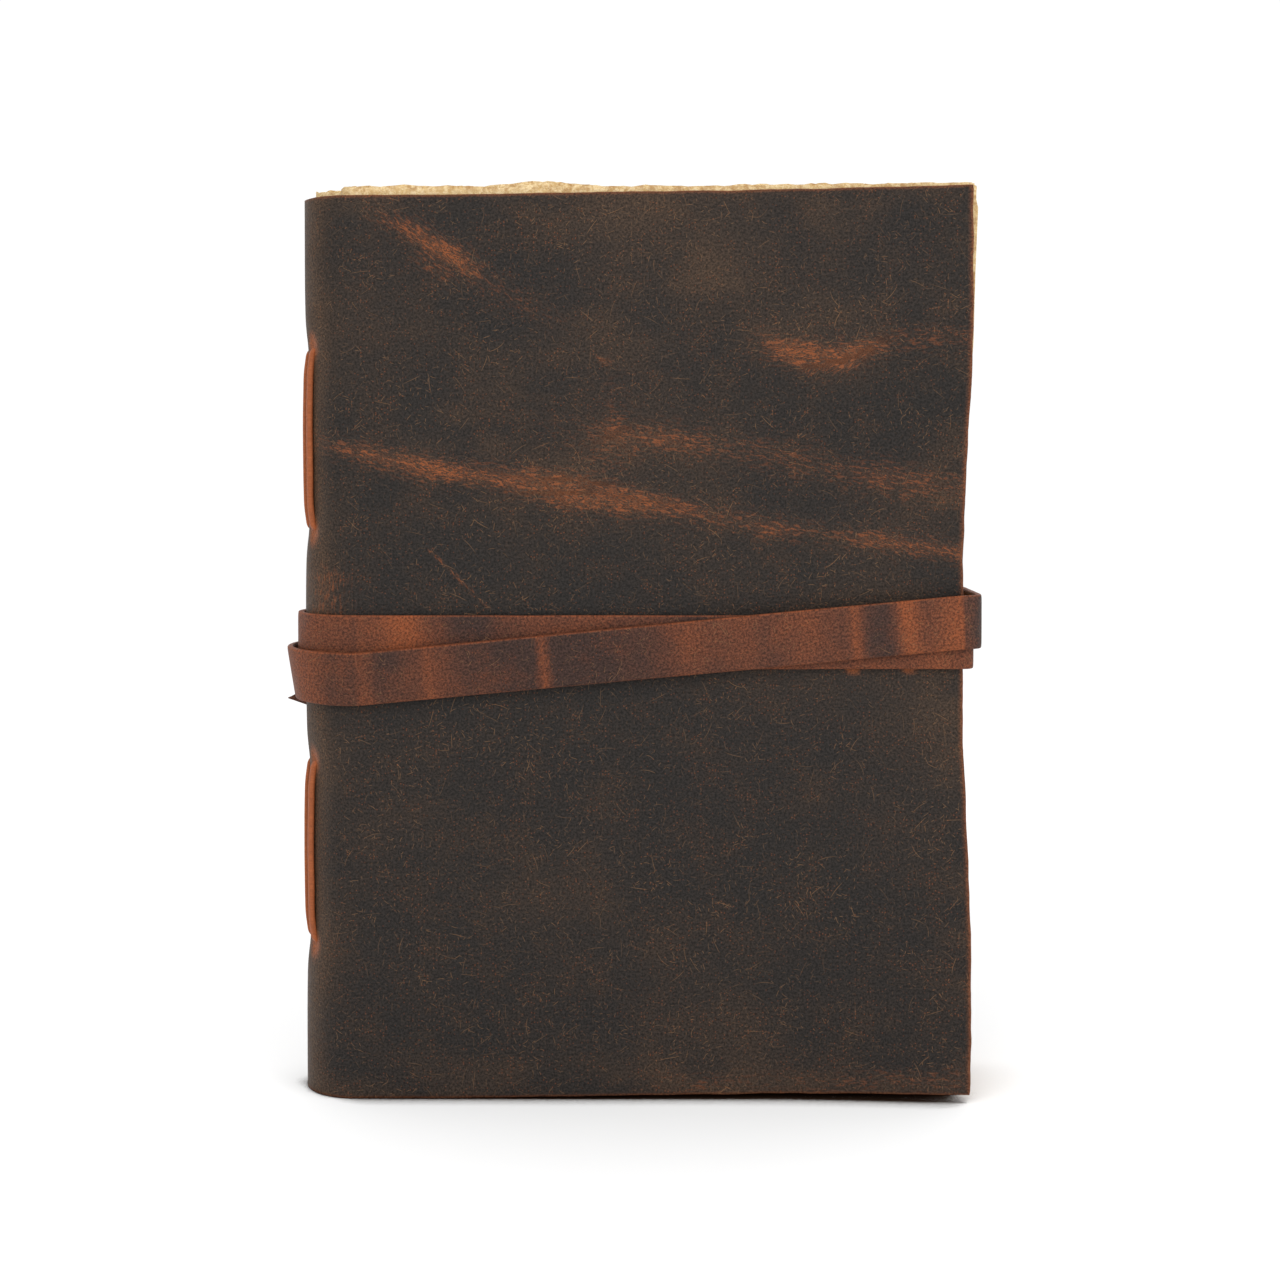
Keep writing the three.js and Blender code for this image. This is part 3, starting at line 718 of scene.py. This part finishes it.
def leather_half(book, side, name, materials, flare, lift):
    """One half of the cover, from the spine's middle line to a fore-edge. Rows of the grid run from tail to
    head; every point is the section's point moved out by the corner flare, in by the strap, the sewing and
    soft waves, and up by the askew lift."""
    close = np.array([0.25, 0.8, 1.6])
    rows = np.concatenate([close, np.linspace(2.6, book.height - 2.6, 196), book.height - close[::-1]])
    grids = []
    for offset in (0.0, book.leather):
        X, Y, NX, NY, S = (np.meshgrid(q, rows)[0] for q in section_path(book, side, offset))
        Z = np.broadcast_to(rows[:, None], X.shape)
        out = np.clip(1 - (book.fore - X) / FLARE_REACH, 0, 1)
        held = book.held(Z)
        move = flare * out**2 * (1 - held)
        move += 0.35 * layered(S / 34 * side, Z / 40, 3, 3) * (1 - 0.8 * held) * smooth(S / 12)
        ridge, most, turn = np.zeros_like(X), np.full(X.shape, 1e9), np.zeros_like(X)
        if side < 0:
            for width, way, points in CREASES:
                d, strength = from_line(X, Z, points)
                d = d * (0.68 + 0.25 * layered(X / 8, Z / 8, 41, 3))
                ridge += strength * bump(d, 0, width)
                turn, most = np.where(d / width < most, way, turn), np.minimum(most, d / width)
        move += 0.22 * np.minimum(ridge, 1.2)
        climb = (SECOND_HIGH - SECOND_LOW) * np.clip((X + book.fore) / book.width, 0, 1)
        strap_low = book.strap_z + (SECOND_LOW + climb)
        pressed = smooth((8.5 - np.abs(Z - (book.strap_z + strap_low) / 2)) / 5)
        move -= 0.12 * pressed
        heights = book.sewing()
        stitched = sum(
            smooth(((high - low) / 2 + 7 - np.abs(Z - (low + high) / 2)) / 12)
            for high, low in (heights[:2], heights[2:])
        )
        move -= 0.7 * stitched * smooth((19 - S) / 10)
        for z in heights:
            move -= 0.25 * smooth((19 - S) / 12) * bump(Z, z, 9)
            for column in (0.0, COLUMN_ANGLE):
                centre = 0.5 + book.radius * column
                move -= 0.5 * bump(S, centre, 1.6) * bump(Z, z, 1.8)
        squeeze = STRAP_SQUEEZE * out * held
        ragged_x = 0.22 * layered(Z / 6, S * 0 + side, 5, 4) * smooth((X - book.fore + 6) / 6)
        start = book.spine_x + LIFT_CLEAR
        up = lift * np.clip((X - start) / (book.fore - start), 0, 1)
        end = smooth((np.abs(Z - book.height / 2) - book.height / 2 + 5) / 5)
        ragged_z = 0.18 * layered(S / 7, Z * 0 + side, 9, 4) * end
        X2 = X + NX * move - squeeze + ragged_x
        Y2 = Y + NY * move
        Z2 = Z + up + ragged_z
        grids.append(np.stack([X2, Y2, Z2], -1) + book.shift)
        if offset == 0.0:
            kept = (X, Z, S, ridge, turn)
    X, Z, S, ridge, turn = kept
    rim = np.full(X.shape, 0.3)
    rim[:, 0] = 0.0
    near_edge = np.minimum(np.minimum(Z, book.height - Z), S.max() - S)
    worn = smooth((0.9 - near_edge) / 0.9) * 0.5
    patchy = smooth((layered(X / 16, Z / 7, 21, 4) + 0.25) / 0.7)
    crease = np.clip(ridge * (0.85 + 0.5 * layered(X / 11, Z / 7, 33, 3)), 0, 1.0)
    # Warmth: warmer near the spine (small S), partly the pull-up colour where the leather bends and partly a
    # painted sheen for the lighter grazing face of the spine; also warmer near the edges and in patches.
    warmth = 0.5 * smooth((16 - S) / 16) + 0.35 * smooth((18 - near_edge) / 18) * patchy
    warmth += 0.45 * bump(X, 20, 34) * bump(Z, 182, 14) * patchy
    warmth += 0.4 * bump(X, -25, 30) * bump(Z, 150, 16) * patchy
    # Creases warmer, and more warmth near the spine: bend colour with painted sheen.
    warmth += 0.45 * np.minimum(ridge, 1) + 0.85 * smooth((17 - S) / 12)
    for z in book.sewing():
        for column in (0.0, COLUMN_ANGLE):
            d = np.hypot(S - 0.5 - book.radius * column, (Z - z) * 0.8)
            worn = np.maximum(worn, 0.85 * smooth((3.4 - d) / 2.4))
            warmth += 0.5 * bump(d, 0, 9)
    if side < 0:
        for inset in SLIT_INSETS:
            d = np.hypot((X - (book.fore - inset)) * 0.8, Z - book.strap_z + 7.2)
            worn = np.maximum(worn, 0.95 * smooth((1.9 - d) / 1.2))
    uv = np.stack([-side * S, Z], -1)
    return shell(
        name, grids[0], grids[1], rim, materials, uv,
        {"crease": crease, "warmth": warmth, "worn": worn, "turn": turn},
    )


# ---------------------------------------------------------------- paper


def fold_centre(book, signature):
    """Centre of a signature's fold (x, y) and half of the signature's thickness."""
    inside = book.radius - book.leather
    pitch = (2 * inside - BLOCK_GAP) / SIGNATURES
    half = (pitch - BLOCK_GAP) / 2
    y = (signature - 1) * pitch
    x = book.spine_x - inside + SPINE_GAP + half if signature == 1 else book.spine_x - BLOCK_GAP
    return x, y, half


def torn_edge(s, seed, coarse, fine):
    """How far a torn edge stands out along its length: broad wander, then short tufts."""
    wander = layered(s / 22, 0 * s + seed, seed, 3)
    return coarse * wander + fine * layered(s / 2.6, 0 * s + seed, seed + 50, 4)


def sheet(book, signature, index, material_):
    """One folded sheet: a hairpin section (leaf, half turn, leaf) drawn along the height. Its head and tail
    edges and both fore-edges are torn, so each end of a grid line stands out by torn_edge; the leaves sway
    together near the edges."""
    cx, cy, half = fold_centre(book, signature)
    pitch = (half - VALLEY_RADIUS + PAPER_GAP) / SHEETS
    inner = VALLEY_RADIUS + index * pitch
    outer = inner + pitch - PAPER_GAP
    seed = signature * SHEETS + index
    leaf = book.fore - cx
    near_fore = np.array([0, 0.25, 0.6, 1.1, 1.8, 2.8, 4.2])
    straight = np.concatenate([leaf - near_fore, np.linspace(leaf - 6, 0, 84)])
    turn = np.linspace(-math.pi / 2, math.pi / 2, 13)[1:-1]
    near_end = np.array([0, 0.2, 0.5, 1.0, 1.8, 3.0, 5.0, 9.0, 20.0])
    rows = np.concatenate([near_end, np.linspace(35, book.height - 35, 8), book.height - near_end[::-1]])
    rows = rows / book.height
    grids = []
    for radius in (outer, inner):
        x = np.concatenate([cx + straight, cx - radius * np.cos(turn), cx + straight[::-1]])
        y = np.concatenate([-radius + 0 * straight, radius * np.sin(turn), radius + 0 * straight])
        reach = np.concatenate([straight, 0 * turn, straight[::-1]])
        s = np.concatenate([straight, -radius * (turn + math.pi / 2), -straight[::-1]])
        X, Y, far, S = (np.meshgrid(q, rows)[0] for q in (x, y, reach / leaf, s))
        R = np.broadcast_to(rows[:, None], X.shape)
        top = book.height + PAPER_ABOVE + torn_edge(S, 3 * seed + 1, 0.8, 0.55)
        top += 1.3 * bump(X, -19, 11) * (signature == 0) * (index % 3 != 1)
        top += 0.9 * smooth((X + 5) / 50)
        foot = PAPER_FOOT + torn_edge(S, 3 * seed + 2, 0.5, 0.35)
        Z = foot + (top - foot) * R
        fore = -3.2 + 4.1 * R + 0.45 * math.sin(seed * 2.4)
        fore += torn_edge(Z, 5 * seed, 0.7, 0.5) + 0.9 * torn_edge(Z, 77, 1.0, 0.0)
        fore -= 1.3 * book.held(Z) * (R > 0.3)
        X2 = X + smooth((far - 0.55) / 0.45) * np.minimum(fore, 1.9)
        away = smooth((np.abs(Z - book.height / 2) - book.height / 2 + 12) / 12)
        sway = 0.10 * layered(X / 9, 0 * X, 7, 3) * away
        sway += 0.08 * layered(Z / 9, 0 * Z, 8, 3) * smooth((far - 0.9) / 0.1)
        from_edge = np.minimum(np.minimum(R, 1 - R) * book.height, (1 - far) * leaf) / 0.6
        thin = 1 - 0.75 * (1 - smooth(from_edge)) * (far > 0)
        centre_y = np.sign(Y) * (outer + inner) / 2
        Y2 = np.where(far > 0, centre_y + (Y - centre_y) * thin, Y)
        grids.append(np.stack([X2, cy + Y2 + sway, Z], -1) + book.shift)
    edge = np.minimum(np.minimum(R, 1 - R) * book.height, (1 - far) * leaf)
    torn = smooth((3.0 - edge) / 3.0)
    uv = np.stack([S, Z], -1)
    name = f"paper_{signature + 1}_{index + 1}"
    return shell(name, *grids, np.full(X.shape, 0.04), [material_] * 3, uv, {"torn": torn})


# ---------------------------------------------------------------- lacing


def path_frames(points, out):
    """Unit directions across a path and out of it, given its points and the rough outward directions."""
    along = unit(np.gradient(points, axis=0))
    across = unit(np.cross(along, out), 1e-9)
    return across, np.cross(across, along)


def resampled(points, step):
    """The same bent line with a point every step, corners rounded by averaging."""
    length = distances(points)
    at = np.linspace(0, length[-1], int(length[-1] / step) + 2)
    line = np.stack([np.interp(at, length, points[:, k]) for k in range(3)], 1)
    for _ in range(6):
        line[1:-1] = (line[:-2] + 2 * line[1:-1] + line[2:]) / 4
    return line


def stitch(book, name, angle, low, high, leg_end, material_):
    """A thong that comes out of the leather at low, runs up the spine and goes in at high, bowed out a
    little in the middle: its distance from the spine's centre grows by a power of the sine of the share
    run."""
    r = book.radius - 1.0 + THONG_THICK / 2 + 0.05
    z = np.linspace(low + 1.2, high - 1.2, 40)
    share = (z - low) / (high - low)
    from_hole = np.minimum(share, 1 - share) * (high - low)
    lifted = r + 0.45 * np.sin(share * math.pi) ** 0.7 - 0.5 * (1 - smooth(from_hole / 7))
    radial = np.concatenate([[leg_end, book.radius - 2.8], lifted, [book.radius - 2.8, leg_end]])
    height = np.concatenate([[low, low], z, [high, high]])
    flat = resampled(np.stack([radial, 0 * radial, height], 1), 0.35)
    outward_dir = np.array([math.cos(angle), math.sin(angle), 0])
    tangent = np.array([-math.sin(angle), math.cos(angle), 0])
    drift = 0.12 * layered(flat[:, 2] / 8, 0 * flat[:, 2], int(angle * 10), 2)
    middle = np.array([book.spine_x, 0, 0]) + flat[:, :1] * outward_dir + flat[:, 2:] * np.array([0, 0, 1.0])
    middle = middle + drift[:, None] * tangent
    along = unit(np.gradient(middle, axis=0))
    across = np.broadcast_to(tangent, middle.shape)
    out = np.cross(across, along)
    width = THONG_WIDE / 2 * (1 + 0.06 * layered(flat[:, 2] / 5, 0 * flat[:, 2], 4, 3))
    half_thick = np.full(len(middle), THONG_THICK / 2)
    return sweep(name, middle + book.shift, across, out, width, half_thick, [material_], power=2.3, points=20)


def inner_run(book, name, signature, material_):
    """The thong inside a signature's middle fold: a straight run with a flat knot halfway up."""
    cx, cy, half = fold_centre(book, signature)
    low, high = book.sewing()[-1], book.sewing()[0]
    hidden, turned, run = cx - half + 0.3, cx + 0.1, cx + 0.5
    lower = [[hidden, cy, low], [turned, cy, low], [run, cy, low + 2]]
    upper = [[run, cy, high - 2], [turned, cy, high], [hidden, cy, high]]
    points = np.array(lower + upper)
    middle = resampled(points, 0.6)
    out = np.broadcast_to(np.array([0, 1.0, 0]), middle.shape)
    across, normal = path_frames(middle, out)
    knot = bump(middle[:, 2], book.height / 2, 2.4)
    width = 0.85 + 1.1 * knot
    thick = 0.48 + 0.08 * knot
    return sweep(name, middle + book.shift, across, normal, width, thick, [material_], power=3.0, points=16)


# ---------------------------------------------------------------- strap


def strap_route(book):
    """The strap's middle line round the book, as (points, outward directions, lean, leg number). It follows
    the cover's outline at a distance that grows by one strap and a gap for each layer beneath it."""
    layer = [STRAP_GAP + book.strap / 2 + n * (book.strap + TURN_GAP) for n in range(3)]
    leaning = layer[1] - LEAN_SINK
    base, low, high = book.strap_z, book.strap_z + SECOND_LOW, book.strap_z + SECOND_HIGH
    tail, tip = book.strap_z + TAIL_DROP, book.strap_z + TIP_DROP
    edge_x, edge_y = book.fore - STRAP_SQUEEZE - book.leather / 4, book.radius - CORNER_RADIUS
    tip_x = book.spine_x - book.radius - TIP_OUT
    shoulder = tip_x + book.strap_width * POINT_LENGTH

    def line(x0, x1, side):
        return lambda t: (x0 + (x1 - x0) * t, side * book.radius + 0 * t, 0 * t, side + 0 * t)

    def arc(x, y, r, a0, a1):
        def at(t):
            a = a0 + (a1 - a0) * t
            return x + r * np.cos(a), y + r * np.sin(a), np.cos(a), np.sin(a)
        return at

    spine = arc(book.spine_x, 0, book.radius, math.pi / 2, 1.5 * math.pi)
    front_corner = arc(edge_x, -edge_y, CORNER_RADIUS, -math.pi / 2, 0)
    back_corner = arc(edge_x, edge_y, CORNER_RADIUS, 0, math.pi / 2)
    front, back = line(book.spine_x, edge_x, -1), line(edge_x, book.spine_x, 1)

    def edge(t):
        return edge_x + CORNER_RADIUS + 0 * t, edge_y * (2 * t - 1), 1 + 0 * t, 0 * t

    legs = (
        (line(book.spine_x + START_LENGTH, book.spine_x, 1), 40, base, base, layer[0], layer[0], 0, 0),
        (spine, 70, base, base, layer[0], layer[0], 0, 0),
        (front, 170, base, base, layer[0], layer[0], 0, 0),
        (front_corner, 14, base, base, layer[0], layer[0], 0, 0),
        (edge, 30, base, base, layer[0], layer[0], 0, 0),
        (back_corner, 14, base, base, layer[0], layer[0], 0, 0),
        (back, 170, base, low + 1, layer[0], leaning, 0, LEAN),
        (spine, 70, low + 1, low, leaning, leaning, LEAN, LEAN),
        (front, 190, low, high, leaning, layer[1], LEAN, 0),
        (front_corner, 14, high, high, layer[1], layer[1], 0, 0),
        (edge, 30, high, high, layer[1], layer[1], 0, 0),
        (back_corner, 14, high, high, layer[1], layer[1], 0, 0),
        (back, 170, high, tail, layer[1], layer[2], 0, 0),
        (line(book.spine_x, shoulder, 1), 10, tail, (tail + tip) / 2, layer[2], layer[2], 0, 0),
        (line(shoulder, tip_x, 1), 24, (tail + tip) / 2, tip, layer[2], layer[2], 0, 0),
    )
    points, outs, leans, parts = [], [], [], []
    for k, (leg, steps, z0, z1, d0, d1, lean0, lean1) in enumerate(legs):
        t = np.linspace(0, 1, steps + 1)[0 if k == 0 else 1:]
        x, y, nx, ny = leg(t)
        easing = smooth(t * 1.6) if leg is back else smooth(t)
        d = d0 + (d1 - d0) * easing
        points.append(np.stack([x + nx * d, y + ny * d, z0 + (z1 - z0) * t], 1))
        outs.append(np.stack([nx, ny, 0 * t], 1))
        leans.append(lean0 + (lean1 - lean0) * easing)
        parts.append(np.full(len(t), k))
    return np.concatenate(points), np.concatenate(outs), np.concatenate(leans), np.concatenate(parts)


# Where the strap is rubbed lighter: leg of the route, x in millimetres, half-width, strength.
STRAP_WEAR = (
    *((1, -76, 9, 0.35), (2, -66, 5, 0.4), (2, -52, 6, 0.85), (2, 40, 14, 0.3), (6, 20, 7, 0.5)),
    *((7, -74, 6, 0.5), (8, -69, 3.2, 0.8), (8, -60, 2, 0.4), (8, -46, 1.6, 0.35), (8, -20, 1.7, 0.75)),
    *((8, 49.5, 1.5, 0.6), (8, 61, 2.4, 0.95), (8, 72, 5, 0.75)),
    *((10, 76, 20, 0.5), (12, 60, 9, 0.5), (12, -20, 5, 0.5)),
)


def strap_piece(book, materials):
    """The strap: a flat band with softly rounded rims, swept along strap_route and cut to a point at its
    tail."""
    middle, out, lean, part = strap_route(book)
    wear = sum(
        strength * (part == leg) * bump(middle[:, 0], x, width) for leg, x, width, strength in STRAP_WEAR
    )
    wear = np.clip(wear, 0, 1)
    for _ in range(8):
        middle[1:-1] = (middle[:-2] + 2 * middle[1:-1] + middle[2:]) / 4
        out[1:-1] = (out[:-2] + 2 * out[1:-1] + out[2:]) / 4
    out = unit(out)
    along = unit(np.gradient(middle, axis=0))
    across = unit(np.cross(along, out))
    across *= np.sign(across[:, 2:])
    across = unit(across + out * lean[:, None])
    normal = np.cross(along, across)
    normal *= np.sign(np.einsum("ij,ij->i", normal, out))[:, None]
    length = distances(middle)
    taper = np.clip((length[-1] - length) / (book.strap_width * POINT_LENGTH), 0.02, 1)
    wander = 1 + 0.012 * layered(length / 14, 0 * length, 3, 3)
    width = book.strap_width / 2 * taper * wander
    middle = middle + normal * (0.05 * layered(length / 25, 0 * length, 6, 3))[:, None]
    half_thick = np.full(len(middle), book.strap / 2)
    layers = {
        "crease": 0.5 * wear,
        "warmth": 0.75 * wear + 0.2 + 0.6 * layered(length / 17, 0 * length, 51, 3),
        "turn": np.full(len(length), 1.15),
    }
    return sweep(
        "strap_band", middle + book.shift, across, normal, width, half_thick, materials, 9.0, 44, 0.9, layers
    )


# ---------------------------------------------------------------- add-on


def size_property(name, description, default):
    """A length in metres."""
    return bpy.props.FloatProperty(
        name=name, description=description, default=default, unit="LENGTH", subtype="DISTANCE"
    )


def color_property(name, description, *rgb):
    """A colour, its default given as 0..255 display values."""
    return bpy.props.FloatVectorProperty(
        name=name, description=description, default=linear(*rgb), size=4, subtype="COLOR", min=0, max=1
    )


class JournalSettings(bpy.types.PropertyGroup):
    """Sizes and colours of the journal and the strength of its light."""

    cover_height: size_property("Cover height", "Head to tail", 0.203)
    cover_width: size_property("Cover width", "Spine to fore-edge, closed", 0.1506)
    thickness: size_property("Thickness", "Outside of one cover to outside of the other", 0.026)
    leather: size_property("Leather", "Thickness of the cover leather", 0.002)
    strap_width: size_property("Strap width", "Width of the strap", 0.012)
    strap_thickness: size_property("Strap thickness", "Thickness of the strap", 0.0015)
    front_flare: size_property("Front flare", "How far the front cover's corners stand out", 0.0035)
    back_flare: size_property("Back flare", "How far the back cover's corners stand out", 0.002)
    front_lift: size_property("Front lift", "How far askew the front cover sits", 0.0018)
    cover_color: color_property("Cover", "Unrubbed leather of the cover", 30, 27, 25)
    strap_color: color_property("Strap", "Warm patches of the strap", 104, 55, 31)
    lacing_color: color_property("Lacing", "Thongs", 136, 74, 42)
    paper_color: color_property("Paper", "Clean rag paper", 228, 208, 166)
    light: bpy.props.FloatProperty(name="Light", description="Strength of the studio light", default=1.0)


SHARED = {}


def shared_materials(settings):
    """The materials, made once for each choice of colours and shared by the operators."""
    chosen = (settings.cover_color, settings.strap_color, settings.lacing_color, settings.paper_color)
    key = tuple(tuple(color) for color in chosen)
    if key not in SHARED:
        SHARED[key] = make_materials(settings)
    return SHARED[key]


class JOURNAL_OT_cover(bpy.types.Operator):
    """Build the leather cover, front half and back half, meeting along the middle of the spine"""

    bl_idname = "journal.cover"
    bl_label = "Cover"

    def execute(self, context):
        s = context.scene.journal
        book, m = Book(s), shared_materials(s)
        kinds = [m["cover"], m["flesh"], m["cut"]]
        for side, name, cover, flare, lift in (
            (-1, "leather_front", "front_cover", s.front_flare / MM, s.front_lift / MM),
            (1, "leather_back", "back_cover", s.back_flare / MM, 0.0),
        ):
            half = leather_half(book, side, name, kinds, flare, lift)
            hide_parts(cover, *(["spine"] if side < 0 else []))
            for angle in BEND_START, BEND_END:
                x = book.spine_x - book.radius * math.cos(angle)
                y = side * book.radius * math.sin(angle)
                tuple(book.place([x, y, book.height / 2]).tolist())
            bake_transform(half)
        return {"FINISHED"}


class JOURNAL_OT_paper(bpy.types.Operator):
    """Build the folded sheets of all three signatures"""

    bl_idname = "journal.paper"
    bl_label = "Paper"

    def execute(self, context):
        s = context.scene.journal
        book, m = Book(s), shared_materials(s)
        for signature, body in enumerate(("signature_1", "spine", "signature_3")):
            for index in range(SHEETS):
                piece = sheet(book, signature, index, m["paper"])
                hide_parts(f"sig_{signature + 1}_sheet_{index + 1}")
                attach(piece, body)
        return {"FINISHED"}


class JOURNAL_OT_lacing(bpy.types.Operator):
    """Build the thongs: two long stitches and an inside run for each signature"""

    bl_idname = "journal.lacing"
    bl_label = "Lacing"

    def execute(self, context):
        s = context.scene.journal
        book, m = Book(s), shared_materials(s)
        first, second, third, fourth = book.sewing()
        inside = book.radius - book.leather
        bodies = ("signature_1", "spine", "signature_3")
        for signature in range(SIGNATURES):
            angle = math.pi - (signature - 1) * COLUMN_ANGLE
            leg_end = inside - 0.15 if signature == 1 else inside - 1.3
            for part, low, high in (("upper", second, first), ("lower", fourth, third)):
                node = f"thong_{signature + 1}_{part}_stitch"
                piece = stitch(book, f"lace_{signature + 1}_{part}", angle, low, high, leg_end, m["thong"])
                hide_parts(node)
                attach(piece, "spine")
            run = inner_run(book, f"lace_{signature + 1}_inner", signature, m["thong"])
            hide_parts(f"thong_{signature + 1}_inner_run")
            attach(run, bodies[signature])
        return {"FINISHED"}


class JOURNAL_OT_strap(bpy.types.Operator):
    """Build the strap wound twice round the journal"""

    bl_idname = "journal.strap"
    bl_label = "Strap"

    def execute(self, context):
        s = context.scene.journal
        book, m = Book(s), shared_materials(s)
        band = strap_piece(book, [m["strap"]])
        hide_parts("strap")
        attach(band, "strap")
        return {"FINISHED"}


class JOURNAL_OT_stage(bpy.types.Operator):
    """Build the pale floor with a painted contact shadow, the soft light and the camera"""

    bl_idname = "journal.stage"
    bl_label = "Stage"

    def execute(self, context):
        s = context.scene.journal
        scene = context.scene
        points = np.array([[-3, -3, 0], [3, -3, 0], [3, 3, 0], [-3, 3, 0]])
        made, tree, surface = material("Pale floor")
        surface.inputs["Roughness"].default_value = 0.9
        surface.inputs["Specular IOR Level"].default_value = 0.0
        # Painted contact shadow: the floor's colour turns dark brown where ambient occlusion finds the book
        # within 11 mm.
        near = put(tree, "AmbientOcclusion", {"Distance": 0.011}, samples=8).outputs["AO"]
        floor_with_painted_shadow = mixed(tree, ranged(tree, near, 0.48, 0.64), linear(52, 38, 30), (0.97, 0.97, 0.97, 1))
        tree.links.new(floor_with_painted_shadow, surface.inputs["Base Color"])
        floor = mesh_object("floor", points, [[0, 1, 2, 3]], materials=[made])
        world = bpy.data.worlds.new("Studio")
        world.use_nodes = True
        background = world.node_tree.nodes["Background"]
        background.inputs["Color"].default_value = (1, 1, 1, 1)
        background.inputs["Strength"].default_value = 1.04 * s.light
        scene.world = world
        for name, place, turn, size, power in (
            ("key", (-0.35, -0.75, 0.75), (48, 0, -25), 0.6, 3.0),
            ("fill", (0.7, -0.6, 0.4), (65, 0, 50), 0.6, 3.0),
        ):
            data = bpy.data.lights.new(name, "AREA")
            data.size = size
            data.energy = power * s.light
            lamp = bpy.data.objects.new(name, data)
            lamp.location = place
            lamp.rotation_euler = tuple(math.radians(a) for a in turn)
            scene.collection.objects.link(lamp)
        data = bpy.data.cameras.new("camera")
        data.lens = 56.0
        data.sensor_width = 36.0
        data.shift_y = -0.12
        camera = bpy.data.objects.new("camera", data)
        camera.location = (0.0038, -0.4585, 0.1472)
        camera.rotation_euler = (math.radians(90 - 1.2), 0, 0)
        scene.collection.objects.link(camera)
        scene.camera = camera
        scene.view_settings.view_transform = "Standard"
        return {"FINISHED"}


class JOURNAL_PT_panel(bpy.types.Panel):
    """Sizes and building steps of the journal"""

    bl_idname = "JOURNAL_PT_panel"
    bl_label = "Leather journal"
    bl_space_type = "VIEW_3D"
    bl_region_type = "UI"
    bl_category = "Journal"

    def draw(self, context):
        s = context.scene.journal
        for key in JournalSettings.__annotations__:
            self.layout.prop(s, key)
        for operator in OPERATORS:
            self.layout.operator(operator.bl_idname)


OPERATORS = (JOURNAL_OT_cover, JOURNAL_OT_paper, JOURNAL_OT_lacing, JOURNAL_OT_strap, JOURNAL_OT_stage)
CLASSES = (JournalSettings, *OPERATORS, JOURNAL_PT_panel)


def register():
    """Adds the settings, operators and panel."""
    for cls in CLASSES:
        bpy.utils.register_class(cls)
    bpy.types.Scene.journal = bpy.props.PointerProperty(type=JournalSettings)


def unregister():
    """Takes them away again."""
    del bpy.types.Scene.journal
    for cls in reversed(CLASSES):
        bpy.utils.unregister_class(cls)


def main():
    """Builds the whole journal."""
    register()
    bpy.ops.journal.cover()
    bpy.ops.journal.paper()
    bpy.ops.journal.lacing()
    bpy.ops.journal.strap()
    bpy.ops.journal.stage()
    bpy.context.view_layer.update()


if __name__ == "__main__":
    main()
